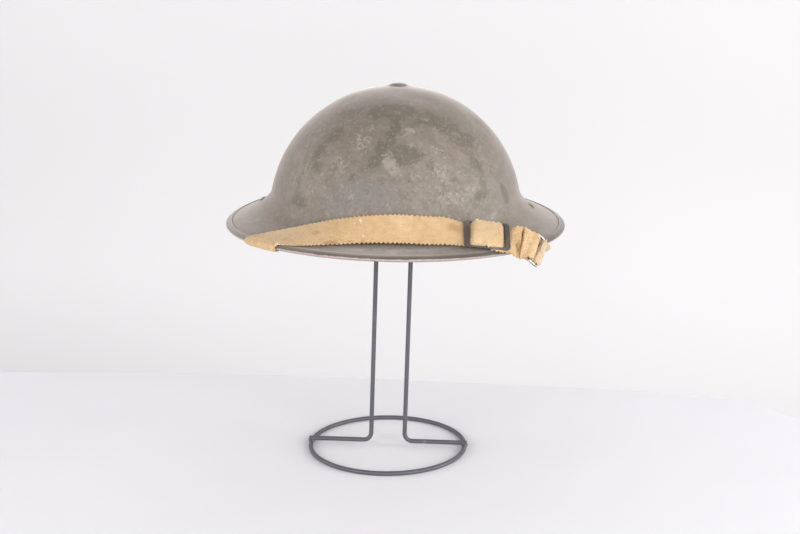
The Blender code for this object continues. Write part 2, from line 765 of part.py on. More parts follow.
def wire_flat():
    """Half the height of a wire of the stand's ring, from its middle to its flat underside."""
    return WIRE_RADIUS * math.cos(math.pi / WIRE_SIDES)


def arm_height():
    """Height of the bent wire's arms, which lie across the ring and sink a little into it."""
    return wire_flat() * 2 + WIRE_RADIUS - WELD_SINK


def leaned(out_by, height):
    """A point of the bent wire, out from the stand's axis at a height, moved over by the lean."""
    lean = max(height - arm_height(), 0) * math.tan(UPRIGHT_LEAN)
    return Vector((RING_OFFSET + out_by + lean, 0, height))


def bow_points(radius):
    """Points of an arc about the bow's centre, from one eave to the other, before the lean."""
    centre = STAND_HEIGHT - WIRE_RADIUS - BOW_RADIUS
    spread = math.asin(BOW_HALF_SPAN / BOW_RADIUS)
    turns = [spread * (2 * i / BOW_STEPS - 1) for i in range(BOW_STEPS + 1)]
    return [(radius * math.sin(turn), centre + radius * math.cos(turn)) for turn in turns]


def bent_wire_path():
    """The wire from one arm's end up over the bow to the other arm's end."""
    arm_end = RING_RADIUS + WIRE_RADIUS
    half = UPRIGHT_SPACING / 2
    bow = bow_points(BOW_RADIUS)
    eave = bow[0][1]
    rise = [(-arm_end, arm_height()), (-half, arm_height()), (-half, eave - BOW_NECK_DROP)]
    fall = [(-out_by, height) for out_by, height in reversed(rise)]
    left = [leaned(*corner) for corner in rise + bow[:2]]
    right = [leaned(*corner) for corner in bow[-2:] + fall]
    bends = [FOOT_BEND, BOW_BEND, BOW_BEND / 2]
    over = [leaned(*point) for point in bow[2:-2]]
    return rounded_path(left, bends) + over + rounded_path(right, bends[::-1])


def make_stand(collection, cutters):
    """The base ring, turned from a section with a flat underside, with the bent wire joined on top."""
    flat = wire_flat()
    profile = []
    for i in range(WIRE_SIDES + 1):
        turn = math.pi / 2 + math.pi / WIRE_SIDES - 2 * math.pi * i / WIRE_SIDES
        profile.append((RING_RADIUS + WIRE_RADIUS * math.cos(turn), flat + WIRE_RADIUS * math.sin(turn)))
    bm = bmesh.new()
    verts = [bm.verts.new((x, 0, z)) for x, z in profile[:-1]]
    edges = [bm.edges.new((a, b)) for a, b in zip(verts, verts[1:] + verts[:1])]
    bmesh.ops.spin(
        bm, geom=verts + edges, axis=(0, 0, 1), cent=(0, 0, 0), angle=math.tau, steps=AROUND, use_merge=True,
    )
    bmesh.ops.remove_doubles(bm, verts=bm.verts, dist=0.00001)
    finish = material("black_wire", (0.06, 0.06, 0.07), 0.5, 0.5)
    ring_mesh = mesh_from_bmesh("wire_stand", bm)
    stand = place("wire_stand", ring_mesh, collection, finish, matrix=Matrix.Translation((RING_OFFSET, 0, 0)))
    bent = wire("bent_wire", bent_wire_path(), WIRE_RADIUS, False, cutters)
    piece = place("bent_wire", bent, cutters)
    hide_guide(piece)
    add_boolean(stand, "UNION", piece)


def inside_top(x, tilt):
    """Height of the tilted dome's inner face over a point of the stand's plane, the helmet's edge being at 0."""
    half_sizes = (BOWL_HALF_WIDTH - WALL, BOWL_HALF_LENGTH - WALL, CROWN_HEIGHT - DOME_CENTRE_HEIGHT - WALL)
    shrink = Matrix.Diagonal(half_sizes).inverted() @ tilt.transposed()
    start = shrink @ (Vector((x, 0, 0)) - tilt @ Vector((0, 0, DOME_CENTRE_HEIGHT)))
    climb = shrink @ Vector((0, 0, 1))
    half_b = start.dot(climb)
    a = climb.dot(climb)
    c = start.dot(start) - 1
    return (-half_b + math.sqrt(half_b**2 - a * c)) / a


def helmet_seat(collection):
    """An empty that tilts the helmet and sets it down on the bow, a clearance over the wire."""
    turned = Euler((FRONT_DIP, SIDE_DIP, 0))
    tilt = turned.to_matrix()
    over_wire = [leaned(*point) for point in bow_points(BOW_RADIUS + WIRE_RADIUS + CLEARANCE)]
    seat = bpy.data.objects.new("helmet_seat", None)
    collection.objects.link(seat)
    seat.rotation_euler = turned
    seat.location = (0, 0, max(point.z - inside_top(point.x, tilt) for point in over_wire))
    return seat


def main():
    clear_scene()
    parts = new_collection("brodie_helmet_on_stand")
    cutters = new_collection("cutters_and_guides")
    seat = helmet_seat(parts)
    make_shell(parts, cutters, seat)
    make_rim_band(parts, seat)
    make_rivets(parts, seat)
    make_lugs(parts, cutters, seat)
    make_straps(parts, seat)
    make_buckle(parts, seat)
    make_end_loop(parts, cutters, seat)
    make_stand(parts, cutters)


main()
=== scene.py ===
# %% [markdown]
# # A worn steel helmet on a wire stand
# The helmet is one pressed sheet: a low dome that runs out into a wide brim. A folded steel band hides the
# sharp edge, three rivets hold what little is fixed to it, and a web chin strap is hooked over the front.
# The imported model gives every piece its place. This lesson dresses each piece with a finer mesh and a finish.

import math
import random

import bmesh
import bpy
import numpy as np
from mathutils import Euler, Matrix, Vector, noise


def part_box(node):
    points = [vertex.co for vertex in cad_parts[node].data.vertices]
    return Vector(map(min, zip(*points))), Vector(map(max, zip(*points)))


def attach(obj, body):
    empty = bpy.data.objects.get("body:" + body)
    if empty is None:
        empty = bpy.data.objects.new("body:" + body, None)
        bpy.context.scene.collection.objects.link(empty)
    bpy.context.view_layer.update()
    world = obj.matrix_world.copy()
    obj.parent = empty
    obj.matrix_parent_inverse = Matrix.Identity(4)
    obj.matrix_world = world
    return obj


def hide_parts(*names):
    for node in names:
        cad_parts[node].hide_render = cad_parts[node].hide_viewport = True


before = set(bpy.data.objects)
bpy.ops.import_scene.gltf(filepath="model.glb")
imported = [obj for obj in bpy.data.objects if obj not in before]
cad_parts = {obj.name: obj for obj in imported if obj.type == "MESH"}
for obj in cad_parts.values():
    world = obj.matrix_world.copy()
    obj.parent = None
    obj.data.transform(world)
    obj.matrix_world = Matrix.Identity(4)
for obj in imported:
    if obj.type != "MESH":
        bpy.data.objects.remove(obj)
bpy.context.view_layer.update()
scene = bpy.context.scene
print("nodes:", sorted(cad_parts))

# %% [markdown]
# ## The camera
# A helmet photographed for sale is seen from a little above, from about a metre away. The lens and the place
# come from matching the dome, the brim and the stand's ring at once, so nothing is nudged by eye later.

# %% Set the camera
CAMERA_PLACE = (0.0844, -0.9537, 0.3724)
CAMERA_TURN = math.radians(4.83)
CAMERA_TIP = math.radians(90 - 12.11)
CAMERA_ROLL = math.radians(0.13)
LENS_MM = 50


def add_camera():
    lens = bpy.data.cameras.new("camera")
    lens.lens = LENS_MM
    lens.sensor_width = 36
    camera = bpy.data.objects.new("camera", lens)
    scene.collection.objects.link(camera)
    turned = Matrix.Rotation(CAMERA_TURN, 4, "Z") @ Matrix.Rotation(CAMERA_TIP, 4, "X")
    camera.matrix_world = Matrix.Translation(CAMERA_PLACE) @ turned @ Matrix.Rotation(CAMERA_ROLL, 4, "Z")
    scene.camera = camera
    return camera


camera = add_camera()
print("camera at", CAMERA_PLACE, "lens", LENS_MM)

# %% [markdown]
# ## Helpers for meshes
# Most pieces here are lofts: rings of points joined by faces. One helper joins them, closes the ends if asked
# and can store a map on the points, so that a weave or a worn edge knows where on the piece it is.

# %% Mesh helpers
WIRE_FINENESS = 5


def linked(name, data, matrix=None):
    """A new object with this data, in the scene."""
    thing = bpy.data.objects.new(name, data)
    scene.collection.objects.link(thing)
    thing.matrix_world = matrix or Matrix.Identity(4)
    return thing


def object_from(name, points, faces, finish, matrix=None, marks=None, smooth_under=math.radians(50)):
    """An object from points and faces. marks are named values for each point, numbers or vectors."""
    mesh = bpy.data.meshes.new(name)
    mesh.from_pydata([tuple(point) for point in points], [], faces)
    mesh.validate()
    for mark, values in (marks or {}).items():
        flat = np.array(values, dtype=np.float32)
        kind, field = ("FLOAT", "value") if flat.ndim == 1 else ("FLOAT_VECTOR", "vector")
        mesh.attributes.new(mark, kind, "POINT").data.foreach_set(field, flat.ravel())
    mesh.shade_smooth()
    mesh.set_sharp_from_angle(angle=smooth_under)
    mesh.materials.append(finish)
    return linked(name, mesh, matrix)


def loft_faces(rings, count, closed_along=False, closed_across=True, caps=False):
    """Faces between rings of points that lie one after another in a list."""
    faces = []
    for i in range(rings if closed_along else rings - 1):
        here = i * count
        there = (i + 1) % rings * count
        for j in range(count if closed_across else count - 1):
            k = (j + 1) % count
            faces.append((here + j, here + k, there + k, there + j))
    if caps:
        faces.append(tuple(range(count))[::-1])
        faces.append(tuple(range((rings - 1) * count, rings * count)))
    return faces


def turned_piece(name, profile, finish, matrix, steps=64):
    """A piece turned about Z from a profile of distance and height that starts and ends on the axis."""
    points = [(0, 0, profile[0][1])]
    inner = profile[1:-1]
    for radius, height in inner:
        for j in range(steps):
            turn = math.tau * j / steps
            points.append((radius * math.cos(turn), radius * math.sin(turn), height))
    points.append((0, 0, profile[-1][1]))
    last = len(points) - 1
    faces = [tuple(v + 1 for v in face) for face in loft_faces(len(inner), steps)]
    faces = [face[::-1] for face in faces]
    for j in range(steps):
        k = (j + 1) % steps
        faces.append((0, 1 + j, 1 + k))
        faces.append((last, last - steps + k, last - steps + j))
    return object_from(name, points, faces, finish, matrix, smooth_under=math.radians(35))


def add_run(curve, points, closed=False):
    """A run of straight steps through the points, added to a curve."""
    spline = curve.splines.new("POLY")
    spline.points.add(len(points) - 1)
    for point, position in zip(spline.points, points):
        point.co = (*position, 1)
    spline.use_cyclic_u = closed
    return spline


def round_curve(name, radius, fine, finish):
    """A curve that is drawn as round wire with filled ends."""
    curve = bpy.data.curves.new(name, "CURVE")
    curve.dimensions = "3D"
    curve.bevel_depth = radius
    curve.bevel_resolution = fine
    curve.use_fill_caps = True
    curve.materials.append(finish)
    return curve


def wire_piece(name, points, radius, finish, matrix=None, closed=False):
    """A round wire along the points."""
    curve = round_curve(name, radius, WIRE_FINENESS, finish)
    add_run(curve, points, closed).use_smooth = True
    return linked(name, curve, matrix)


def rounded_path(corners, radii, steps=12):
    """The corners joined by straight runs, each inner corner turned with its own radius."""
    path = [Vector(corners[0])]
    for before, corner, after, radius in zip(corners, corners[1:], corners[2:], radii):
        corner = Vector(corner)
        come = (Vector(before) - corner).normalized()
        leave = (Vector(after) - corner).normalized()
        half = come.angle(leave) / 2
        centre = corner + (come + leave).normalized() * radius / math.sin(half)
        start = corner + come * radius / math.tan(half) - centre
        axis = come.cross(leave).normalized()
        for i in range(steps + 1):
            path.append(centre + Matrix.Rotation(-(math.pi - 2 * half) * i / steps, 3, axis) @ start)
    path.append(Vector(corners[-1]))
    return path


def settle(piece, slot, *nodes):
    """Makes a finished piece move with the body and stand for its nodes. Its slot is not used."""
    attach(piece, "root")
    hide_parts(*nodes)
    print(piece.name, "stands for", ", ".join(nodes))
    return piece


# %% [markdown]
# ## Helpers for finishes
# A finish is a small tree of nodes. The helper below adds one node, sets it up and joins its inputs, so each
# finish can be read from top to bottom. Effects that several finishes share are node groups.

# %% Node helpers
# The colour sockets of a Mix node share their names with its other kinds, so they are found by number.
MIX_FACTOR = 0
MIX_BELOW = 6
MIX_ABOVE = 7
MIX_RESULT = 2


def join_inputs(tree, sockets, inputs):
    """Fills sockets with plain values, or links other nodes' outputs to them."""
    for key, value in inputs.items():
        if isinstance(value, bpy.types.NodeSocket):
            tree.links.new(value, sockets[key])
        else:
            sockets[key].default_value = value


def add_node(tree, kind, settings=None, inputs=None):
    made = tree.nodes.new(kind)
    for key, value in (settings or {}).items():
        setattr(made, key, value)
    join_inputs(tree, made.inputs, inputs or {})
    return made


def maths(tree, operation, a, b=0.0):
    return add_node(tree, "ShaderNodeMath", {"operation": operation}, {0: a, 1: b}).outputs[0]


def plus(tree, a, b):
    return maths(tree, "ADD", a, b)


def minus(tree, a, b):
    return maths(tree, "SUBTRACT", a, b)


def times(tree, a, b):
    return maths(tree, "MULTIPLY", a, b)


def noise_at(tree, place, scale, detail=4.0, roughness=0.55, distortion=0.0):
    inputs = {"Vector": place, "Scale": scale, "Detail": detail, "Roughness": roughness}
    inputs["Distortion"] = distortion
    return add_node(tree, "ShaderNodeTexNoise", None, inputs).outputs["Fac"]


def ramp(tree, value, low, high, to_low=0.0, to_high=1.0):
    """The value eased from one range to another, and held at its ends."""
    inputs = {"Value": value, "From Min": low, "From Max": high, "To Min": to_low, "To Max": to_high}
    settings = {"interpolation_type": "SMOOTHSTEP"}
    return add_node(tree, "ShaderNodeMapRange", settings, inputs).outputs["Result"]


def blend_colour(tree, mask, below, above):
    """below where the mask is 0 and above where it is 1."""
    made = add_node(tree, "ShaderNodeMix", {"data_type": "RGBA", "clamp_factor": True})
    below, above = [(*colour, 1.0) if isinstance(colour, tuple) else colour for colour in (below, above)]
    join_inputs(tree, made.inputs, {MIX_FACTOR: mask, MIX_BELOW: below, MIX_ABOVE: above})
    return made.outputs[MIX_RESULT]


def layered(tree, colour, layers):
    """A colour with more colours laid over it, each through its own mask."""
    for mask, above in layers:
        colour = blend_colour(tree, mask, colour, above)
    return colour


def mark_of(tree, name, output="Fac"):
    return add_node(tree, "ShaderNodeAttribute", {"attribute_name": name}).outputs[output]


def place_of(tree):
    return add_node(tree, "ShaderNodeTexCoord").outputs["Object"]


def bump(tree, height, strength, distance):
    inputs = {"Height": height, "Strength": strength, "Distance": distance}
    return add_node(tree, "ShaderNodeBump", None, inputs).outputs["Normal"]


def new_finish(name):
    """A material with its Principled shader, ready for links."""
    made = bpy.data.materials.new(name)
    made.use_nodes = True
    return made, made.node_tree, made.node_tree.nodes["Principled BSDF"]


def new_group(name, inputs, outputs):
    """A shader node group. inputs are (name, socket type, default), outputs (name, socket type)."""
    group = bpy.data.node_groups.new(name, "ShaderNodeTree")
    for label, kind, default in inputs:
        socket = group.interface.new_socket(name=label, in_out="INPUT", socket_type=kind)
        if default is not None:
            socket.default_value = default
    for label, kind in outputs:
        group.interface.new_socket(name=label, in_out="OUTPUT", socket_type=kind)
    come = group.nodes.new("NodeGroupInput")
    leave = group.nodes.new("NodeGroupOutput")
    return group, come.outputs, leave.inputs


def use_group(tree, group, inputs):
    return add_node(tree, "ShaderNodeGroup", {"node_tree": group}, inputs).outputs


# %% [markdown]
# ## Shared effects
# Old paint doesn't wear evenly. A patch has a soft middle and a ragged border, so the same group makes dark
# stains, pale scuffs and bare metal: it takes a smooth level, roughens it with noise and cuts it.

# %% Group: ragged patches


def make_ragged_group():
    inputs = (
        ("Place", "NodeSocketVector", None),
        ("Level", "NodeSocketFloat", 0.0),
        ("Size", "NodeSocketFloat", 80.0),
        ("Ragged", "NodeSocketFloat", 1.0),
        ("Cut", "NodeSocketFloat", 0.5),
        ("Softness", "NodeSocketFloat", 0.1),
    )
    group, come, leave = new_group("ragged patches", inputs, (("Mask", "NodeSocketFloat"),))
    coarse = noise_at(group, come["Place"], come["Size"], detail=6.0, roughness=0.62, distortion=0.6)
    finer_size = times(group, come["Size"], 4.3)
    finer = noise_at(group, come["Place"], finer_size, detail=4.0, roughness=0.7)
    rough = plus(group, times(group, coarse, 0.6), times(group, finer, 0.4))
    swing = times(group, minus(group, rough, 0.5), come["Ragged"])
    level = plus(group, come["Level"], swing)
    low = minus(group, come["Cut"], come["Softness"])
    high = plus(group, come["Cut"], come["Softness"])
    group.links.new(ramp(group, level, low, high), leave["Mask"])
    return group


def ragged_mask(tree, place, level, size, roughened, cut, softness):
    """Where a level, roughened by noise of this size, passes the cut."""
    inputs = {"Place": place, "Level": level, "Size": size}
    inputs |= {"Ragged": roughened, "Cut": cut, "Softness": softness}
    return use_group(tree, ragged, inputs)["Mask"]


ragged = make_ragged_group()
print("group:", ragged.name)

# %% [markdown]
# Paint sprayed on steel and baked has a fine grain, and handling leaves thin scratches in all directions.
# This group gives both, a height for the bump and a mask for the scratches, which are noise drawn out long.

# %% Group: grain and scratches


def make_grain_group():
    inputs = (
        ("Place", "NodeSocketVector", None),
        ("Grain Size", "NodeSocketFloat", 1500.0),
        ("Scratch Size", "NodeSocketFloat", 60.0),
    )
    outputs = (("Height", "NodeSocketFloat"), ("Scratches", "NodeSocketFloat"))
    group, come, leave = new_group("grain and scratches", inputs, outputs)
    fine = noise_at(group, come["Place"], come["Grain Size"], detail=2.0)
    group.links.new(fine, leave["Height"])
    found = None
    for turn, stretch in ((0.4, 9.0), (1.5, 12.0), (2.5, 8.0)):
        mapping = add_node(group, "ShaderNodeMapping", None, {"Vector": come["Place"]})
        mapping.inputs["Rotation"].default_value = (turn, turn * 0.7, turn * 1.3)
        mapping.inputs["Scale"].default_value = (stretch, stretch, 1.0)
        lines = noise_at(group, mapping.outputs[0], come["Scratch Size"], detail=3.0, roughness=0.7)
        mask = ramp(group, lines, 0.68, 0.74)
        found = mask if found is None else maths(group, "MAXIMUM", found, mask)
    group.links.new(found, leave["Scratches"])
    return group


grain = make_grain_group()
print("group:", grain.name)

# %% [markdown]
# Cotton webbing is a plain weave of thick yarn: warp along the strap, weft across it. A point that knows how
# far along and across the strap it lies can work out which yarn is on top, so the weave bends with the strap.

# %% Group: plain weave
WARP_PITCH = 0.00105
WEFT_PITCH = 0.00125
YARN_WANDER = 1.3


def make_weave_group():
    inputs = (
        ("Place", "NodeSocketVector", None),
        ("On Strap", "NodeSocketVector", None),
    )
    outputs = (("Height", "NodeSocketFloat"), ("Shade", "NodeSocketFloat"))
    group, come, leave = new_group("plain weave", inputs, outputs)
    split = add_node(group, "ShaderNodeSeparateXYZ", None, {0: come["On Strap"]}).outputs
    drift = minus(group, noise_at(group, come["Place"], 180.0), 0.5)
    wander = times(group, drift, YARN_WANDER)
    across = plus(group, maths(group, "DIVIDE", split["X"], WARP_PITCH), wander)
    along = plus(group, maths(group, "DIVIDE", split["Y"], WEFT_PITCH), wander)
    warp = maths(group, "SINE", times(group, across, math.pi))
    weft = maths(group, "SINE", times(group, along, math.pi))
    over = times(group, warp, weft)
    ribs = maths(group, "POWER", maths(group, "ABSOLUTE", warp), 0.5)
    height = plus(group, times(group, over, 0.35), times(group, ribs, 0.45))
    fuzz = noise_at(group, come["Place"], 2600.0, detail=3.0)
    height = plus(group, height, times(group, fuzz, 0.5))
    group.links.new(height, leave["Height"])
    group.links.new(ramp(group, height, 0.0, 1.0), leave["Shade"])
    return group


weave = make_weave_group()
print("group:", weave.name)

# %% [markdown]
# ## The pressed shell's shape
# The press tool is an ellipse in every section: one through the sides and one through the front, blended
# round the helmet by the square of the cosine. The brim eases out of the dome's foot on a cubic curve. The
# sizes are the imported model's, so the fine mesh lies on the coarse one, but for a knock that bent the brim's
# front left up by a millimetre.

# %% Sizes of the shell
WALL = 0.0012
BOWL_HALF_WIDTH = 0.1087
BOWL_HALF_LENGTH = 0.1169
CROWN_HEIGHT = 0.1141
DOME_CENTRE_HEIGHT = 0.0045
FOOT_HEIGHT_SIDE = 0.0275
FOOT_HEIGHT_FRONT = 0.0124
EDGE_HALF_WIDTH = 0.1454
EDGE_HALF_LENGTH = 0.1516
EDGE_WAVE = 0.0017
DROOP_SIDE = math.radians(29)
DROOP_FRONT = math.radians(16)
FOOT_EASE = 0.32
EDGE_EASE = 0.32
CLEARANCE = 0.0003
BRIM_BEND = 0.0010
BEND_ANGLE = 238
BEND_SPREAD = 30


def section(half, foot_height, edge_half, edge_height, droop, reach):
    """Distance out and height of the outer face at a reach: -1 at the crown, 0 at the foot, 1 at the edge."""
    rise = CROWN_HEIGHT - DOME_CENTRE_HEIGHT
    foot_turn = math.acos((foot_height - DOME_CENTRE_HEIGHT) / rise)
    if reach <= 0:
        turn = foot_turn * (reach + 1)
        return Vector((half * math.sin(turn), DOME_CENTRE_HEIGHT + rise * math.cos(turn)))
    foot = Vector((half * math.sin(foot_turn), foot_height))
    edge = Vector((edge_half, edge_height))
    run = (edge - foot).length
    down = Vector((half * math.cos(foot_turn), -rise * math.sin(foot_turn))).normalized()
    pull_foot = foot + down * FOOT_EASE * run
    pull_edge = edge - Vector((math.cos(droop), -math.sin(droop))) * EDGE_EASE * run
    back = 1 - reach
    first = foot * back**3 + pull_foot * 3 * back**2 * reach
    return first + pull_edge * 3 * back * reach**2 + edge * reach**3


def shell_point(angle, reach):
    """A point of the outer face in the helmet's own frame. The front is at 270 degrees."""
    turn = math.radians(angle)
    across = math.cos(turn)
    along = math.sin(turn)
    side = section(BOWL_HALF_WIDTH, FOOT_HEIGHT_SIDE, EDGE_HALF_WIDTH, -EDGE_WAVE, DROOP_SIDE, reach)
    front = section(BOWL_HALF_LENGTH, FOOT_HEIGHT_FRONT, EDGE_HALF_LENGTH, EDGE_WAVE, DROOP_FRONT, reach)
    bent = BRIM_BEND * max(reach, 0) ** 2 * math.exp(-((((angle % 360) - BEND_ANGLE) / BEND_SPREAD) ** 2))
    return Vector((side.x * across, front.x * along, side.y * across**2 + front.y * along**2 + bent))


def shell_frame(angle, reach):
    """A point of the outer face with its directions down the slope, round the shell and out of the face."""
    nudge = 0.001
    below = shell_point(angle, min(reach + nudge, 1))
    above = shell_point(angle, max(reach - nudge, -1))
    down = (below - above).normalized()
    around = (shell_point(angle + nudge, reach) - shell_point(angle - nudge, reach)).normalized()
    return shell_point(angle, reach), down, around, down.cross(around).normalized()


def off_shell(angle, reach, lift):
    """A point at a lift over the shell, or past its edge along the brim's slope."""
    point, down, _, out = shell_frame(angle, min(reach, 1))
    past = max(reach - 1, 0) * (shell_point(angle, 1) - shell_point(angle, 0)).length
    return point + down * past + out * lift


# %% [markdown]
# The helmet sits a little crooked on its stand, its front low and its right side low. Its height follows from
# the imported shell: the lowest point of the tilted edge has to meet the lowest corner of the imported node.

# %% Where the helmet sits
TILT = Euler((math.radians(3.1), math.radians(0.66), 0)).to_matrix().to_4x4()


def helmet_place():
    edge = [TILT @ off_shell(angle, 1, -WALL) for angle in range(0, 360, 2)]
    lowest = min(point.z for point in edge)
    return Matrix.Translation((0, 0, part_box("helmet_shell")[0].z - lowest)) @ TILT


HELMET = helmet_place()
print("the helmet's edge lies at", round(HELMET.translation.z, 4), "m")

# %% [markdown]
# ## Where the paint has changed
# The paint kept its olive-brown in some places and rubbed to a dusty grey in others. Each patch is given by
# its angle and reach on the shell and by its size round and down the shell. A smooth level for each kind is
# stored on the mesh, and the finish makes the borders ragged.

# %% Patches of the paint
# Each patch: angle, reach, size round the shell in mm, size down the shell in mm, amount.
DARK_PATCHES = (
    (272, -0.66, 22, 10, 1.0), (260, -0.62, 8, 6, 0.8), (233, -0.60, 10, 8, 0.8), (234, -0.45, 8, 8, 1.0),
    (230, -0.34, 7, 9, 0.8), (232, -0.26, 8, 8, 0.7), (241, -0.25, 5, 5, 0.6), (275, -0.54, 4, 6, 1.2),
    (272, -0.47, 4, 8, 1.2), (268, -0.42, 5, 5, 1.2), (265, -0.35, 6, 7, 1.0), (280, -0.38, 11, 8, 1.3),
    (301, -0.59, 11, 9, 1.0), (311, -0.53, 13, 10, 1.0), (320, -0.41, 14, 8, 0.9), (318, -0.33, 6, 11, 0.7),
    (321, -0.26, 6, 11, 0.7), (334, -0.06, 5, 10, 1.0), (317, -0.11, 8, 4, 0.9), (227, -0.07, 13, 7, 0.7),
    (254, -0.25, 4, 8, 0.6), (292, -0.29, 7, 8, 0.5), (305, -0.22, 5, 10, 0.5), (224, -0.18, 8, 10, 0.5),
    (255, 0.72, 14, 6, 0.9), (268, 0.62, 10, 5, 0.8), (280, 0.70, 12, 6, 0.9), (290, 0.78, 10, 5, 0.8),
    (245, 0.70, 10, 5, 0.7), (300, 0.80, 8, 4, 0.7), (262, 0.80, 9, 3, 0.8), (210, 0.60, 12, 8, 0.5),
    (150, -0.50, 16, 12, 1.0), (95, -0.35, 18, 12, 1.0), (60, -0.62, 12, 14, 0.9), (20, -0.30, 10, 16, 0.9),
    (180, -0.25, 9, 14, 0.8), (120, -0.12, 14, 6, 0.8), (350, -0.45, 12, 9, 0.8), (200, -0.70, 12, 10, 0.8),
)
PALE_PATCHES = (
    (272, -0.345, 5, 8, 1.3), (275, -0.30, 5, 4, 1.2), (285, -0.27, 4, 3, 1.2), (255, -0.45, 12, 14, 0.8),
    (259, -0.53, 6, 5, 0.8), (284, -0.52, 8, 6, 0.9), (299, -0.58, 6, 4, 0.7), (285, -0.43, 3, 3, 0.9),
    (246, -0.31, 10, 11, 0.7), (299, -0.38, 8, 6, 0.9), (298, -0.27, 8, 11, 0.9), (302, -0.14, 16, 8, 0.8),
    (322, 0.06, 12, 4, 0.8), (311, -0.16, 9, 8, 0.7), (255, -0.17, 6, 5, 0.7), (330, -0.35, 10, 14, 0.5),
    (100, -0.52, 14, 12, 0.9), (45, -0.30, 12, 12, 0.8), (140, -0.25, 12, 10, 0.8), (10, -0.60, 12, 10, 0.7),
    (75, -0.15, 10, 8, 0.8), (190, -0.45, 10, 12, 0.8), (165, -0.10, 14, 6, 0.7), (215, -0.50, 8, 12, 0.5),
)
BLUISH_PATCHES = ((262, -0.18, 20, 11, 1.0), (248, -0.10, 14, 7, 0.7), (90, -0.20, 16, 10, 0.8))


def patch_levels(points, patches):
    """For each point, how far inside the nearest patch it lies: about 1 in a middle and 0 well outside."""
    levels = np.zeros(len(points))
    for angle, reach, around_mm, down_mm, amount in patches:
        centre, down, around, _ = (np.array(v) for v in shell_frame(angle, reach))
        gap = points - centre
        spread = ((gap @ around) / (around_mm / 1000)) ** 2 + ((gap @ down) / (down_mm / 1000)) ** 2
        levels = np.maximum(levels, amount * np.exp(-0.7 * spread))
    return levels


# %% [markdown]
# Even a good press leaves the sheet a little uneven, and years of knocks add shallow dents. They are far too
# shallow to see as shapes, but they break up the light on the dome, so they belong in the mesh.

# %% Dents
# Each dent: angle, reach, radius in mm, depth in mm.
DENTS = (
    (268, -0.86, 13, 0.5), (300, -0.80, 15, 0.6), (318, -0.70, 12, 0.5), (225, -0.74, 14, 0.3),
    (100, -0.60, 18, 0.6), (45, -0.50, 14, 0.4), (170, -0.55, 16, 0.4), (330, -0.20, 12, 0.3),
)
UNEVEN_SIZE = 22.0
UNEVEN_DEPTH = 0.00022


def dent_depths(points):
    depths = np.zeros(len(points))
    for angle, reach, radius_mm, depth_mm in DENTS:
        gap = np.linalg.norm(points - np.array(shell_point(angle, reach)), axis=1) / (radius_mm / 1000)
        depths += depth_mm / 1000 * np.exp(-gap**2)
    uneven = [noise.noise(Vector(point) * UNEVEN_SIZE) for point in points]
    return depths + np.array(uneven) * UNEVEN_DEPTH


# %% [markdown]
# ## Finish: worn olive-grey paint
# From the bottom up: the sound paint with olive and warmer places, dusty grey rub, a bluish bloom low on the
# front, a painted highlight along the band's inner edge, painted light that fills the strap's shadow on the
# brim, dark patches, pale scuffs broken into specks, fine cracks, scratches, flecks and pits. The roughness
# follows the dark and pale masks.

# %% Make the shell's paint
PAINT = (0.158, 0.128, 0.103)
DARK_PAINT = (0.105, 0.088, 0.064)
OLIVE_PAINT = (0.130, 0.109, 0.080)
WARM_PAINT = (0.178, 0.136, 0.116)
DUSTY_PAINT = (0.205, 0.172, 0.146)
# Scuffed paint, and also the colour of the painted light by the band and under the strap.
SCUFF_AND_PAINTED_LIGHT = (0.290, 0.252, 0.215)
BLOOM = (0.162, 0.148, 0.145)


def add_dusty_sheen(shader):
    """Dust on old paint catches light where the surface turns away."""
    shader.inputs["Sheen Weight"].default_value = 0.70
    shader.inputs["Sheen Roughness"].default_value = 0.35
    shader.inputs["Sheen Tint"].default_value = (1.0, 0.91, 0.88, 1.0)


def sound_paint(tree, place, mottle):
    """Paint with olive and warmer places, under a dusty rub."""
    broad = noise_at(tree, place, 14.0, detail=5.0, roughness=0.6)
    warm = ramp(tree, noise_at(tree, place, 30.0, detail=5.0, distortion=0.8), 0.48, 0.62, 0.0, 0.6)
    dusty = plus(tree, times(tree, broad, 0.5), times(tree, mottle, 0.5))
    return layered(tree, PAINT, (
        (ramp(tree, broad, 0.35, 0.65), OLIVE_PAINT),
        (warm, WARM_PAINT),
        (ramp(tree, dusty, 0.44, 0.60, 0.0, 0.75), DUSTY_PAINT),
    ))


def fine_wear(tree, place, mottle, scratches):
    """The layers of fine cracks, scratches, flecks and pits."""
    crazed = noise_at(tree, place, 60.0, detail=4.0, distortion=1.6)
    line = maths(tree, "ABSOLUTE", minus(tree, crazed, 0.5))
    veins = times(tree, ramp(tree, line, 0.0, 0.02, 1.0, 0.0), ramp(tree, mottle, 0.45, 0.6))
    flecks = ramp(tree, noise_at(tree, place, 420.0, detail=5.0), 0.55, 0.68, 0.0, 0.40)
    pits = ramp(tree, noise_at(tree, place, 260.0, detail=5.0), 0.34, 0.46, 0.40, 0.0)
    scratched = times(tree, scratches, 0.25)
    return ((times(tree, veins, 0.45), SCUFF_AND_PAINTED_LIGHT), (scratched, SCUFF_AND_PAINTED_LIGHT), (flecks, SCUFF_AND_PAINTED_LIGHT), (pits, DARK_PAINT))


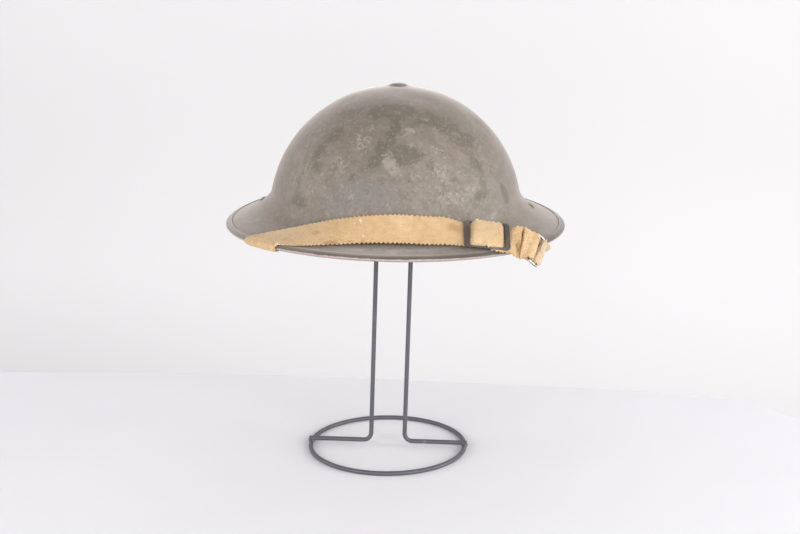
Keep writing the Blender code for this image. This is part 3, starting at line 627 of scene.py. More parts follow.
def make_shell_paint():
    finish, tree, shader = new_finish("shell_paint")
    place = place_of(tree)
    mottle = noise_at(tree, place, 90.0, detail=6.0, roughness=0.65)
    bloom = ragged_mask(tree, place, mark_of(tree, "bluish"), 60.0, 0.7, 0.45, 0.35)
    painted_light_line = ragged_mask(tree, place, mark_of(tree, "painted_light_line"), 90.0, 0.9, 0.5, 0.3)
    dark = ragged_mask(tree, place, mark_of(tree, "dark"), 110.0, 2.2, 0.50, 0.15)
    pale = ragged_mask(tree, place, mark_of(tree, "pale"), 340.0, 4.0, 0.78, 0.12)
    texture = use_group(tree, grain, {"Place": place, "Grain Size": 1400.0, "Scratch Size": 34.0})
    colour = layered(tree, sound_paint(tree, place, mottle), (
        (times(tree, bloom, 0.6), BLOOM),
        # Painted light: a highlight along the band's inner edge and a fill for the strap's shadow on the brim.
        (times(tree, painted_light_line, 0.85), SCUFF_AND_PAINTED_LIGHT),
        (times(tree, dark, 0.75), DARK_PAINT),
        (times(tree, pale, 0.7), SCUFF_AND_PAINTED_LIGHT),
    ))
    colour = layered(tree, colour, fine_wear(tree, place, mottle, texture["Scratches"]))
    tree.links.new(colour, shader.inputs["Base Color"])
    gloss = minus(tree, 0.62, times(tree, pale, 0.10))
    gloss = plus(tree, gloss, times(tree, dark, 0.05))
    tree.links.new(gloss, shader.inputs["Roughness"])
    height = plus(tree, texture["Height"], times(tree, pale, -0.6))
    tree.links.new(bump(tree, height, 0.35, 0.0001), shader.inputs["Normal"])
    add_dusty_sheen(shader)
    return finish


shell_paint = make_shell_paint()
print("finish:", shell_paint.name)

# %% [markdown]
# ## The shell
# A pressed sheet could be an open surface with Solidify. It is lofted ring by ring here instead, outside and
# inside, because every point then knows its place on the press tool and can carry the paint's levels.

# %% Build the shell
SHELL_AROUND = 216
DOME_RINGS = 64
BRIM_RINGS = 40
# Each line of painted light: reach, its spread, angle, its spread, amount. One is a painted highlight along the
# band's inner edge, one is painted light that fills the strap's shadow on the brim.
PAINTED_LIGHT_LINES = ((0.845, 0.025, 275, 50, 1.0), (0.47, 0.15, 272, 30, 1.7))


def painted_light_level(reach, angle):
    level = 0
    for at_reach, reach_spread, at_angle, angle_spread, amount in PAINTED_LIGHT_LINES:
        beside = math.exp(-(((reach - at_reach) / reach_spread) ** 2))
        level += amount * beside * math.exp(-(((angle - at_angle) / angle_spread) ** 2))
    return level


def make_shell():
    reaches = [-1 + (i + 1) / DOME_RINGS for i in range(DOME_RINGS)]
    reaches += [(i + 1) / BRIM_RINGS for i in range(BRIM_RINGS)]
    angles = [360 * j / SHELL_AROUND for j in range(SHELL_AROUND)]
    frames = [shell_frame(angle, reach) for reach in reaches for angle in angles]
    outer = np.array([at[0] for at in frames])
    out = np.array([at[3] for at in frames])
    outer -= out * dent_depths(outer)[:, None]
    inner = outer - out * WALL
    rings = len(reaches)
    inner_rings = inner.reshape(rings, SHELL_AROUND, 3)[::-1].reshape(-1, 3)
    crown = np.array([[0, 0, CROWN_HEIGHT], [0, 0, CROWN_HEIGHT - WALL]])
    points = np.concatenate([outer, inner_rings, crown])
    faces = loft_faces(2 * rings, SHELL_AROUND)
    top = 2 * rings * SHELL_AROUND
    last = top - SHELL_AROUND
    for j in range(SHELL_AROUND):
        k = (j + 1) % SHELL_AROUND
        faces.append((top, k, j))
        faces.append((top + 1, last + j, last + k))
    faces = [face[::-1] for face in faces]
    # Levels of painted light: a highlight by the band and a fill for the strap's shadow.
    painted_light_line = [painted_light_level(reach, angle) for reach in reaches for angle in angles]
    marks = {
        "painted_light_line": np.array(painted_light_line + [0.0] * (len(points) - len(painted_light_line))),
        "dark": patch_levels(points, DARK_PATCHES),
        "pale": patch_levels(points, PALE_PATCHES),
        "bluish": patch_levels(points, BLUISH_PATCHES),
    }
    return object_from("bowl_and_brim", points, faces, shell_paint, HELMET, marks)


shell = settle(make_shell(), "shell_paint", "helmet_shell")
print(len(shell.data.polygons), "faces")

# %% [markdown]
# ## The edge band
# The edge is a strip of thin steel folded over the sheet. Its fold is what touches tables and hands, so the
# paint there is rubbed through to bright steel. Its leg is a little wider at the front, its paint is paler
# on the left, and its two ends meet at the back.

# %% Make the band's finish
BAND_PAINT = (0.076, 0.063, 0.043)
BAND_LIGHT_PAINT = (0.170, 0.143, 0.120)
BARE_STEEL = (0.50, 0.40, 0.39)


def make_band_paint():
    finish, tree, shader = new_finish("band_paint")
    place = place_of(tree)
    fold = mark_of(tree, "fold")
    mottle = noise_at(tree, place, 70.0, detail=5.0)
    # Paler toward the band's left side, set by angle alone, and in patches of noise.
    lighter = plus(tree, mark_of(tree, "dusty"), ramp(tree, mottle, 0.40, 0.70, 0.0, 0.30))
    colour = blend_colour(tree, lighter, BAND_PAINT, BAND_LIGHT_PAINT)
    rubbed = ragged_mask(tree, place, fold, 150.0, 1.8, 0.66, 0.16)
    colour = blend_colour(tree, rubbed, colour, BARE_STEEL)
    texture = use_group(tree, grain, {"Place": place, "Grain Size": 1400.0, "Scratch Size": 60.0})
    tree.links.new(colour, shader.inputs["Base Color"])
    tree.links.new(times(tree, rubbed, 0.75), shader.inputs["Metallic"])
    gloss = minus(tree, 0.58, times(tree, rubbed, 0.18))
    tree.links.new(gloss, shader.inputs["Roughness"])
    tree.links.new(bump(tree, texture["Height"], 0.3, 0.0001), shader.inputs["Normal"])
    add_dusty_sheen(shader)
    return finish


band_paint = make_band_paint()
print("finish:", band_paint.name)

# %% Build the band
BAND_WALL = 0.0006
BAND_LEG = 0.0050
BAND_AROUND = 300
BAND_JOINT = 96
BAND_GAP = 0.15
FOLD_STEPS = 10
PALER_BAND_ANGLE = 190
PALER_BAND_SPREAD = 42


def band_ring(angle):
    """The U section at an angle, with how near each of its points lies to the outer fold."""
    half = WALL / 2 + CLEARANCE
    edge, out, _, up = shell_frame(angle, 1)
    run = (edge - shell_point(angle, 0)).length
    wobble = noise.noise(Vector((math.cos(math.radians(angle)), math.sin(math.radians(angle)), 0)) * 9)
    front = max(-math.sin(math.radians(angle)), 0) ** 6
    leg = BAND_LEG * (0.95 + 0.06 * wobble + 0.35 * front)
    inner, _, _, up_in = shell_frame(angle, 1 - leg / (3 * EDGE_EASE * run))
    middle = edge - up * WALL / 2
    middle_in = inner - up_in * WALL / 2
    ring = [(middle_in + up_in * half, 0), (middle_in + up_in * (half + BAND_WALL * 0.3), 0)]
    ring.append((middle_in + up_in * (half + BAND_WALL) + out * 0.0011, 0.15))
    ring.append((middle_in.lerp(middle, 0.5) + up_in.lerp(up, 0.5) * (half + BAND_WALL), 0.05))
    for i in range(FOLD_STEPS + 1):
        turn = math.pi * i / FOLD_STEPS
        shift = up * math.cos(turn) * (half + BAND_WALL) + out * math.sin(turn) * (CLEARANCE + BAND_WALL)
        ring.append((middle + shift, math.sin(turn) ** 2 if 0 < i < FOLD_STEPS else 0.1))
    ring.append((middle_in.lerp(middle, 0.5) - up_in.lerp(up, 0.5) * (half + BAND_WALL), 0.05))
    ring += [(middle_in - up_in * (half + BAND_WALL), 0.1), (middle_in - up_in * half, 0)]
    ring += [(middle - up * half + out * CLEARANCE, 0), (middle + up * half + out * CLEARANCE, 0)]
    return ring


def make_band():
    points = []
    fold = []
    dusty = []
    for j in range(BAND_AROUND + 1):
        angle = BAND_JOINT + BAND_GAP + (360 - 2 * BAND_GAP) * j / BAND_AROUND
        ring = band_ring(angle)
        points += [point for point, _ in ring]
        fold += [level for _, level in ring]
        dusty += [math.exp(-(((angle - PALER_BAND_ANGLE) / PALER_BAND_SPREAD) ** 2))] * len(ring)
    count = len(points) // (BAND_AROUND + 1)
    faces = loft_faces(BAND_AROUND + 1, count, caps=True)
    marks = {"fold": fold, "dusty": dusty}
    return object_from("edge_band", points, faces, band_paint, HELMET, marks, math.radians(60))


settle(make_band(), "rim_band_paint", "rim_band")

# %% [markdown]
# ## Rivets
# A rivet is a turned shape: a low domed head that was set with a hammer, a shank through the sheet and a flat
# tail. They were painted over with the shell, so they share its paint with a little more wear on the dome. The
# bare steel on the top of each head is partly that wear and partly a painted highlight.

# %% Make the rivets' finish
RIVET_PAINT = (0.132, 0.106, 0.098)


def make_rivet_paint():
    finish, tree, shader = new_finish("rivet_paint")
    place = place_of(tree)
    height = add_node(tree, "ShaderNodeSeparateXYZ", None, {0: place}).outputs["Z"]
    # Bare steel towards the top of the head: partly wear, partly a painted highlight.
    top = ramp(tree, height, 0.0, 0.0026, 0.2, 0.5)
    worn = ragged_mask(tree, place, top, 260.0, 1.6, 0.61, 0.10)
    colour = blend_colour(tree, ramp(tree, noise_at(tree, place, 300.0), 0.4, 0.7), RIVET_PAINT, PAINT)
    colour = blend_colour(tree, times(tree, worn, 0.7), colour, BARE_STEEL)
    tree.links.new(colour, shader.inputs["Base Color"])
    tree.links.new(times(tree, worn, 0.6), shader.inputs["Metallic"])
    tree.links.new(ramp(tree, worn, 0.0, 1.0, 0.5, 0.34), shader.inputs["Roughness"])
    tree.links.new(bump(tree, noise_at(tree, place, 900.0), 0.4, 0.0002), shader.inputs["Normal"])
    add_dusty_sheen(shader)
    return finish


rivet_paint = make_rivet_paint()
print("finish:", rivet_paint.name)

# %% Build the rivets
SIDE_RIVET_REACH = 0.39
CLIP_WALL = 0.0012
TAIL_HEIGHT = 0.0008
RIVET_STEPS = 12
CROWN_RIVET_SHIFT = 0.0014
# Each rivet: radius and height of its head, radius of its shank, radius of its tail.
CROWN_RIVET = (0.0082, 0.0022, 0.0020, 0.0034)
BRIM_RIVET = (0.0034, 0.0011, 0.0015, 0.0026)


def rivet_profile(head_radius, head_height, shank_radius, tail_radius, grip):
    """Distance and height down the rivet's outer side, from the top of its head to the middle of its tail."""
    profile = []
    for i in range(RIVET_STEPS + 1):
        share = i / RIVET_STEPS
        profile.append((head_radius * share, CLEARANCE + head_height * (1 - share**2.6)))
    profile[-1] = (head_radius, CLEARANCE + head_height * 0.12)
    tail = -grip - CLEARANCE
    profile += [(head_radius * 0.985, CLEARANCE), (shank_radius, CLEARANCE), (shank_radius, tail)]
    profile += [(tail_radius * 0.95, tail), (tail_radius, tail - TAIL_HEIGHT / 2)]
    return profile + [(tail_radius * 0.9, tail - TAIL_HEIGHT), (0, tail - TAIL_HEIGHT)]


def side_frame(angle):
    """The frame of a brim rivet: X down the brim's slope, Z out of its face."""
    point, down, _, out = shell_frame(angle, SIDE_RIVET_REACH)
    return Matrix.Translation(point) @ Matrix((down, out.cross(down), out)).transposed().to_4x4()


crown_place = HELMET @ Matrix.Translation((CROWN_RIVET_SHIFT, 0, CROWN_HEIGHT))
crown = turned_piece("crown_rivet_head", rivet_profile(*CROWN_RIVET, WALL), rivet_paint, crown_place)
settle(crown, "rivet_paint", "crown_rivet")
for side, angle in (("right", 0), ("left", 180)):
    profile = rivet_profile(*BRIM_RIVET, WALL + CLEARANCE + CLIP_WALL)
    rivet = turned_piece(f"brim_rivet_{side}", profile, rivet_paint, HELMET @ side_frame(angle), steps=32)
    settle(rivet, "rivet_paint", f"side_rivet_{side}")

# %% [markdown]
# ## Strap lugs
# Under each side of the brim, the rivet holds a clip: a strip of steel curled round a wire loop, which the
# strap is sewn to. The clip is one bent profile pushed across its width, and the loop is a wire with round
# corners.

# %% Make the lugs' finish


def make_dark_steel(name, colour, worn_colour, roughness, metallic):
    """Dark metal, brighter where it is rubbed, for the lugs and the buckle."""
    finish, tree, shader = new_finish(name)
    place = place_of(tree)
    worn = ragged_mask(tree, place, noise_at(tree, place, 45.0), 420.0, 0.7, 0.66, 0.14)
    texture = use_group(tree, grain, {"Place": place, "Grain Size": 1800.0, "Scratch Size": 150.0})
    worn = maths(tree, "MAXIMUM", worn, times(tree, texture["Scratches"], 0.6))
    tree.links.new(blend_colour(tree, worn, colour, worn_colour), shader.inputs["Base Color"])
    tree.links.new(ramp(tree, worn, 0.0, 1.0, roughness, roughness - 0.12), shader.inputs["Roughness"])
    tree.links.new(bump(tree, texture["Height"], 0.25, 0.0001), shader.inputs["Normal"])
    shader.inputs["Metallic"].default_value = metallic
    return finish


lug_steel = make_dark_steel("lug_steel", (0.12, 0.11, 0.10), (0.30, 0.27, 0.24), 0.5, 0.5)
print("finish:", lug_steel.name)

# %% Build the lugs
CLIP_WIDTH = 0.0120
CLIP_BACK = 0.0060
CLIP_FRONT = 0.0065
CURL_RADIUS = 0.0023
LUG_WIRE_RADIUS = 0.0012
LUG_LOOP_LENGTH = 0.0088
LUG_LOOP_DIP = math.radians(15)
STRAP_WIDTH = 0.0240
WELD_SINK = 0.0005
CURL_STEPS = 15
CURL_TURN = 290
CORNER_INSET = 0.9


def ahead_of(angle):
    """Which way along the lug frame's Y the helmet's front lies."""
    return 1 if angle == 180 else -1


def lug_bars(angle):
    """The middles of the wire loop's rear and front bars, in the lug's frame."""
    ahead = ahead_of(angle)
    depth = WALL + CLEARANCE + CLIP_WALL + CURL_RADIUS - WELD_SINK
    rear = Vector((0, ahead * CLIP_FRONT, -depth))
    reach = Vector((0, ahead * math.cos(LUG_LOOP_DIP), -math.sin(LUG_LOOP_DIP)))
    return rear, rear + reach * LUG_LOOP_LENGTH


def clip_profile(angle):
    """Middle line of the clip, from its back edge along the plate and round the rear bar."""
    ahead = ahead_of(angle)
    rear, _ = lug_bars(angle)
    radius = CURL_RADIUS - CLIP_WALL / 2
    level = -WALL - CLEARANCE - CLIP_WALL / 2
    line = [(-ahead * CLIP_BACK, level), (-ahead * CLIP_BACK * 0.5, level), (0, level), (rear.y * 0.5, level)]
    for i in range(CURL_STEPS + 1):
        turn = math.radians(90 - CURL_TURN * i / CURL_STEPS)
        line.append((rear.y + ahead * radius * math.cos(turn), rear.z + radius * math.sin(turn)))
    return line


def make_clip(side, angle):
    line = clip_profile(angle)
    rings = []
    for i, (y, z) in enumerate(line):
        before = Vector(line[max(i - 1, 0)])
        after = Vector(line[min(i + 1, len(line) - 1)])
        along = (after - before).normalized()
        normal = Vector((-along.y, along.x)) * CLIP_WALL / 2
        narrow = 0.86 if i == 0 else 1
        half = CLIP_WIDTH / 2 * narrow
        for x, sign in ((-half, 1), (-half, -1), (half, -1), (half, 1)):
            rings.append((x, y + normal.x * sign * CORNER_INSET, z + normal.y * sign * CORNER_INSET))
    faces = loft_faces(len(line), 4, caps=True)
    return object_from(f"lug_clip_{side}", rings, faces, lug_steel, HELMET @ side_frame(angle))


def make_lug_loop(side, angle):
    rear, front = lug_bars(angle)
    half = Vector((STRAP_WIDTH / 2 + CLEARANCE + LUG_WIRE_RADIUS, 0, 0))
    corners = (rear, rear + half, front + half, front - half, rear - half, rear)
    path = rounded_path(corners, [LUG_WIRE_RADIUS * 1.5] * 4, steps=6)[:-1]
    return wire_piece(
        f"lug_loop_{side}", path, LUG_WIRE_RADIUS, lug_steel, HELMET @ side_frame(angle), closed=True
    )


for side, angle in (("right", 0), ("left", 180)):
    settle(make_clip(side, angle), "lug_steel", f"strap_lug_{side}")
    settle(make_lug_loop(side, angle), "lug_steel", f"strap_lug_{side}")

# %% [markdown]
# ## The strap's route
# A strap bends easily one way and hardly at all the other, so its route is a list of rows across it. Each row
# gives its lower and its upper edge as a place on the shell, and a smooth curve runs through the rows.
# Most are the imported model's rows. Some, at the brim's left edge, past the buckle, at the loop and along the
# tab, are moved by up to about five millimetres, to follow the strap in the picture more closely.

# %% Rows of the strap
STRAP_THICKNESS = 0.0015
STRAP_TURN_IN = 0.0160
TAB_TURN_IN = 0.0080
HEM_TURN_IN = 0.0136
HEM_GAPE = 0.0030
HEM_GAPE_AT = 0.68
HEM_GAPE_LENGTH = 0.0050
HEM_GAPE_SPREAD = 0.28
BAR_LEAD = 0.0030
TAB_LEAD = 0.0012
BAR_TURN_STEPS = 12
ACROSS = 6
ROW_PITCH = 0.0030
END_WIRE_RADIUS = 0.0010
LOOP_GAP = 0.0022
BUCKLE_LENGTH = 0.0356
BUCKLE_END_BAR = 0.0039
BUCKLE_THICKNESS = 0.0018
BUCKLE_SLIP = 0.0024
PILLOW_UP = 0.0010
TUCKED_SHARE = 0.22
LOW_TUCK = 0.0018
OVER_CENTRE = 0.0028
PILLOW_CROWN = 0.0009
WEAVE_STEPS = 14
CLIMB_SHARE = 0.34
LEVEL_SHARE = 0.75
STRAP_COLUMNS = ("low_angle", "low_reach", "low_lift", "up_angle", "up_reach", "up_lift", "hug")
UNDER_LEFT_BRIM = (
    (200.8, 0.26, -0.44, 196.8, 0.63, -0.42, 0),
    (216.0, 0.40, -0.31, 206.8, 0.72, -0.35, 0),
    (227.0, 0.66, -0.27, 214.5, 0.84, -0.28, 0),
)
OVER_THE_FRONT = (
    (237.6, 0.93, 0.07, 224.0, 0.80, 0.12, 1),
    (241.4, 0.88, 0.08, 230.0, 0.52, 0.18, 0),
    (246.0, 0.78, 0.09, 239.3, 0.03, 0.21, 0),
    (253.5, 0.62, 0.12, 249.5, -0.045, 0.10, 0),
    (264.8, 0.48, 0.19, 263.0, -0.083, 0.07, 0),
    (276.5, 0.47, 0.21, 276.8, -0.092, 0.07, 0),
    (285.8, 0.54, 0.19, 288.2, -0.075, 0.10, 0),
    (292.5, 0.60, 0.17, 296.4, -0.055, 0.17, 0),
)
BUCKLE_ENDS = (
    (296.2, 0.71, 0.19, 301.5, -0.03, 0.28, 0),
    (309.0, 1.09, 0.15, 316.0, 0.75, 0.65, 0),
)
PAST_THE_BUCKLE = (
    (312.2, 1.10, 0.00, 316.6, 0.81, 0.68, 0),
    (314.6, 1.17, -0.10, 318.9, 0.90, 0.65, 0),
)
LOOP_PLACE = (316.0, 1.26, -0.07, 323.0, 0.97, 0.39, 0)
TAB_ROUND_THE_RIM = (
    (317.4, 1.15, -0.17, 327.0, 1.08, 0.21, 0),
    (319.9, 1.02, -0.36, 330.6, 1.09, 0.00, 0),
    (322.8, 0.97, -0.50, 332.7, 1.09, -0.19, 0),
    (325.8, 0.96, -0.66, 334.8, 1.01, -0.34, 0),
    (331.0, 0.59, -0.52, 341.8, 0.78, -0.39, 0),
    (341.2, 0.36, -0.48, 348.0, 0.66, -0.44, 0),
)
RIM_TURN_ANGLES = (236.2, 220.6)


def middle_of(row):
    return (row[0] + row[-1]) / 2


def straight_row(low, up):
    return [low.lerp(up, i / ACROSS) for i in range(ACROSS + 1)]


def table_row(values):
    """The row of points that one line of a table gives."""
    row = dict(zip(STRAP_COLUMNS, values))
    low = (row["low_angle"], row["low_reach"], row["low_lift"] * STRAP_WIDTH)
    up = (row["up_angle"], row["up_reach"], row["up_lift"] * STRAP_WIDTH)
    if not row["hug"]:
        return straight_row(off_shell(*low), off_shell(*up))
    shares = [i / ACROSS for i in range(ACROSS + 1)]
    return [off_shell(*[a + (b - a) * share for a, b in zip(low, up)]) for share in shares]


def rim_turn_rows():
    """Rows that carry the strap round the banded edge, from under the brim to its top."""
    around_band = WALL / 2 + CLEARANCE + BAND_WALL + CLEARANCE + STRAP_THICKNESS / 2
    low_angle, up_angle = RIM_TURN_ANGLES
    rows = []
    for turn in range(-90, 91, 15):
        height = around_band * math.sin(math.radians(turn))
        out_by = around_band * math.cos(math.radians(turn)) - BAND_WALL
        row = []
        for i in range(ACROSS + 1):
            point, out, _, up = shell_frame(low_angle + (up_angle - low_angle) * i / ACROSS, 1)
            row.append(point - up * WALL / 2 + up * height + out * out_by)
        rows.append(row)
    return rows


# %% [markdown]
# The curve through the rows is a Catmull-Rom curve whose tangents allow for uneven spacing. Without that, a
# short step next to a long one makes the strap double back on itself.

# %% Smooth rows and turned ends


def smooth_rows(rows):
    """Rows at an even pitch on a smooth curve through the given rows."""
    made = []
    last = len(rows) - 1
    lengths = [(middle_of(b) - middle_of(a)).length for a, b in zip(rows, rows[1:])]
    for i in range(last):
        length = lengths[i]
        before = lengths[max(i - 1, 0)]
        after = lengths[min(i + 1, last - 1)]
        quartet = (rows[max(i - 1, 0)], rows[i], rows[i + 1], rows[min(i + 2, last)])
        steps = max(1, round(length / ROW_PITCH))
        for step in range(steps):
            t = step / steps
            row = []
            for a, b, c, d in zip(*quartet):
                chord = c - b
                leave = chord
                arrive = chord
                if i > 0:
                    leave = ((b - a) * length**2 / before + chord * before) / (before + length)
                if i < last - 1:
                    arrive = (chord * after + (d - c) * length**2 / after) / (after + length)
                bend = (chord * 3 - leave * 2 - arrive) * t**2 + (leave + arrive - chord * 2) * t**3
                row.append(b + leave * t + bend)
            made.append(row)
    made.append(rows[last])
    return made


def bar_start(bar, away, across, main_side, wire_radius, lead=BAR_LEAD):
    """The main run's first rows, lying beside a bar on its main side and leading away from it."""
    start = bar + main_side * (wire_radius + CLEARANCE + STRAP_THICKNESS / 2)
    half = across * STRAP_WIDTH / 2
    centres = [start + away * lead * share for share in (0, 0.5, 1)]
    return [straight_row(centre - half, centre + half) for centre in centres]


def turn_round_bar(first, towards_bar, away, radius):
    """Rows that carry a strap's end half round a bar."""
    turned = []
    for i in range(BAR_TURN_STEPS):
        turn = math.pi * i / BAR_TURN_STEPS
        shift = towards_bar * radius * (1 - math.cos(turn)) - away * radius * math.sin(turn)
        turned.append([point + shift for point in first])
    return turned


def turned_end(rows, bar, wire_radius, turn_in):
    """Rows of a strap's end, from its cut edge to the turn round the bar that the rows lead away from."""
    radius = wire_radius + CLEARANCE + STRAP_THICKNESS / 2
    layer = STRAP_THICKNESS + CLEARANCE * 2
    ease = radius * 2.5
    first = rows[0]
    across = (first[-1] - first[0]).normalized()
    away = (middle_of(rows[1]) - middle_of(first)).normalized()
    side = 1 if away.cross(across).dot(bar - middle_of(first)) > 0 else -1
    towards_bar = away.cross(across) * side
    turned = turn_round_bar(first, towards_bar, away, radius)
    gone = 0
    for i, row in enumerate(rows[:-1]):
        if i:
            gone += (middle_of(row) - middle_of(rows[i - 1])).length
        if gone > turn_in:
            break
        ease_in = min(max(gone - radius / 2, 0) / ease, 1)
        lift = 2 * radius + (layer - 2 * radius) * ease_in * ease_in * (3 - 2 * ease_in)
        before = rows[max(i - 1, 0)]
        after = rows[i + 1]
        lifted = []
        for k, point in enumerate(row):
            out = (middle_of(after) - middle_of(before)).cross(row[-1] - row[0]).normalized() * side
            gape = max(gone - turn_in + HEM_GAPE_LENGTH, 0) / HEM_GAPE_LENGTH
            upper = math.exp(-(((k / ACROSS - HEM_GAPE_AT) / HEM_GAPE_SPREAD) ** 2))
            lifted.append(point + out * (lift + HEM_GAPE * gape**2 * upper))
        turned.append(lifted)
    turned.reverse()
    return turned[:-1]


# %% [markdown]
# At the buckle the web goes under one end bar, over the centre bar and under the other end bar, so between
# the bars it stands up like a small pillow. Its upper edge lies over the top bar, and its lower edge is
# tucked behind the bottom bar. At the plated loop both the strap and the tab turn back on themselves.

# %% The strap at its buckle, loop and lugs


def buckle_frame():
    """Middle of the buckle, with its directions along the strap, across it and outwards."""
    start, end = [table_row(values) for values in BUCKLE_ENDS]
    along = (middle_of(end) - middle_of(start)).normalized()
    across = (start[-1] - start[0]) + (end[-1] - end[0])
    across = (across - along * across.dot(along)).normalized()
    middle = (middle_of(start) + middle_of(end)) / 2 + along * BUCKLE_SLIP
    return middle, along, across, along.cross(across)


def weave_rows():
    """Rows through the buckle: under its end bar, over its centre bar and under its other end bar."""
    middle, along, across, out = buckle_frame()
    low = -(BUCKLE_THICKNESS / 2 + CLEARANCE * 1.6 + STRAP_THICKNESS / 2)
    high = BUCKLE_THICKNESS / 2 + CLEARANCE * 3 + STRAP_THICKNESS / 2
    under_bar = BUCKLE_LENGTH / 2 - BUCKLE_END_BAR
    beyond = BUCKLE_LENGTH / 2 + STRAP_THICKNESS / 2
    shares = [i / WEAVE_STEPS for i in range(-WEAVE_STEPS, WEAVE_STEPS + 1)]
    places = [(under_bar * share, min((1 - abs(share)) / CLIMB_SHARE, 1)) for share in shares]
    rows = []
    for run, climb in [(-beyond, 0)] + places + [(beyond, 0)]:
        swell = climb * climb * (3 - 2 * climb)
        centre = middle + along * run
        half = across * STRAP_WIDTH / 2
        tuck = across * LOW_TUCK * min(max(LEVEL_SHARE - run / under_bar, 0), 1)
        row = straight_row(centre - half + tuck, centre + half + across * PILLOW_UP * swell)
        for i in range(ACROSS + 1):
            share = min(i / ACROSS / TUCKED_SHARE, 1)
            share = max(share, LEVEL_SHARE * math.exp(-((run / OVER_CENTRE) ** 2)))
            rise = swell * share * share * (3 - 2 * share)
            crown = PILLOW_CROWN * swell * (1 - (2 * i / ACROSS - 1) ** 2)
            row[i] += out * (low + (high - low) * rise + crown)
        rows.append(row)
    return rows


def loop_bars():
    """Middles of the end loop's two bars, with the directions along the strap, across it and outwards."""
    before = table_row(PAST_THE_BUCKLE[-1])
    row = table_row(LOOP_PLACE)
    across = (row[-1] - row[0]).normalized()
    along = middle_of(row) - middle_of(before)
    along = (along - across * along.dot(across)).normalized()
    out = along.cross(across)
    strap_bar = middle_of(row) + out * (END_WIRE_RADIUS + CLEARANCE + STRAP_THICKNESS / 2)
    span = 2 * (END_WIRE_RADIUS + CLEARANCE + STRAP_THICKNESS) + LOOP_GAP
    return strap_bar, strap_bar + along * span, along, across, out


def lug_start(angle):
    """The front bar of a lug, and the rows that the strap leaves it by, on the bar's lower side."""
    frame_there = side_frame(angle)
    turned = frame_there.to_3x3()
    rear, front = lug_bars(angle)
    away = (turned @ (front - rear)).normalized()
    across = turned @ Vector((1, 0, 0))
    below = away.cross(across)
    if below.z > 0:
        below = -below
    bar = frame_there @ front
    return bar, bar_start(bar, away, across, below, LUG_WIRE_RADIUS)


def strap_rows():
    """All rows of the chin strap, from the left lug to the end loop."""
    lug_bar, lug_rows = lug_start(180)
    strap_bar, _, along, across, out = loop_bars()
    loop_rows = bar_start(strap_bar, -along, across, -out, END_WIRE_RADIUS)[::-1]
    under = [table_row(values) for values in UNDER_LEFT_BRIM]
    over = [table_row(values) for values in OVER_THE_FRONT]
    past = [table_row(values) for values in PAST_THE_BUCKLE]
    weave_through = weave_rows()
    first = smooth_rows(lug_rows + under + rim_turn_rows() + over + [weave_through[0]])
    last = smooth_rows([weave_through[-1]] + past + loop_rows)
    lug_end = turned_end(first, lug_bar, LUG_WIRE_RADIUS, STRAP_TURN_IN)
    loop_end = turned_end(last[::-1], strap_bar, END_WIRE_RADIUS, HEM_TURN_IN)
    return lug_end + first + weave_through[1:-1] + last + loop_end[::-1]


def tab_rows():
    """All rows of the tab, from the end loop round the rim to the right lug."""
    _, tab_bar, along, across, out = loop_bars()
    loop_rows = bar_start(tab_bar, along, across, out, END_WIRE_RADIUS, TAB_LEAD)
    lug_bar, lug_rows = lug_start(0)
    run = smooth_rows(loop_rows + [table_row(values) for values in TAB_ROUND_THE_RIM] + lug_rows[::-1])
    loop_end = turned_end(run, tab_bar, END_WIRE_RADIUS, TAB_TURN_IN)
    lug_end = turned_end(run[::-1], lug_bar, LUG_WIRE_RADIUS, STRAP_TURN_IN)
    return loop_end + run + lug_end[::-1]


# %% [markdown]
# ## Finish: cotton webbing
# Undyed webbing turns from cream to tan, darker where it was handled and paler where the buckle kept it
# clean. The weave gives the bump and painted shade between the yarns, broad noise gives the fading, and
# sheen gives cotton its soft edge. The stain colour also paints shade in the gap under the hem's edge.

# %% Make the webbing's finish
WEB = (0.560, 0.378, 0.200)
WEB_DEEP = (0.450, 0.285, 0.135)
WEB_PALE = (0.690, 0.530, 0.335)
TAB_WEB = (0.560, 0.430, 0.300)
# Stains on the web. The same colour paints shade in the hem's gap and between the yarns.
STAIN_AND_SHADE = (0.300, 0.158, 0.060)
THREAD = (0.820, 0.720, 0.520)
# Where along the strap the buckle keeps it pale: the start and the end, each a run of 4 mm.
KEPT_START = (0.297, 0.301)
KEPT_END = (0.319, 0.323)


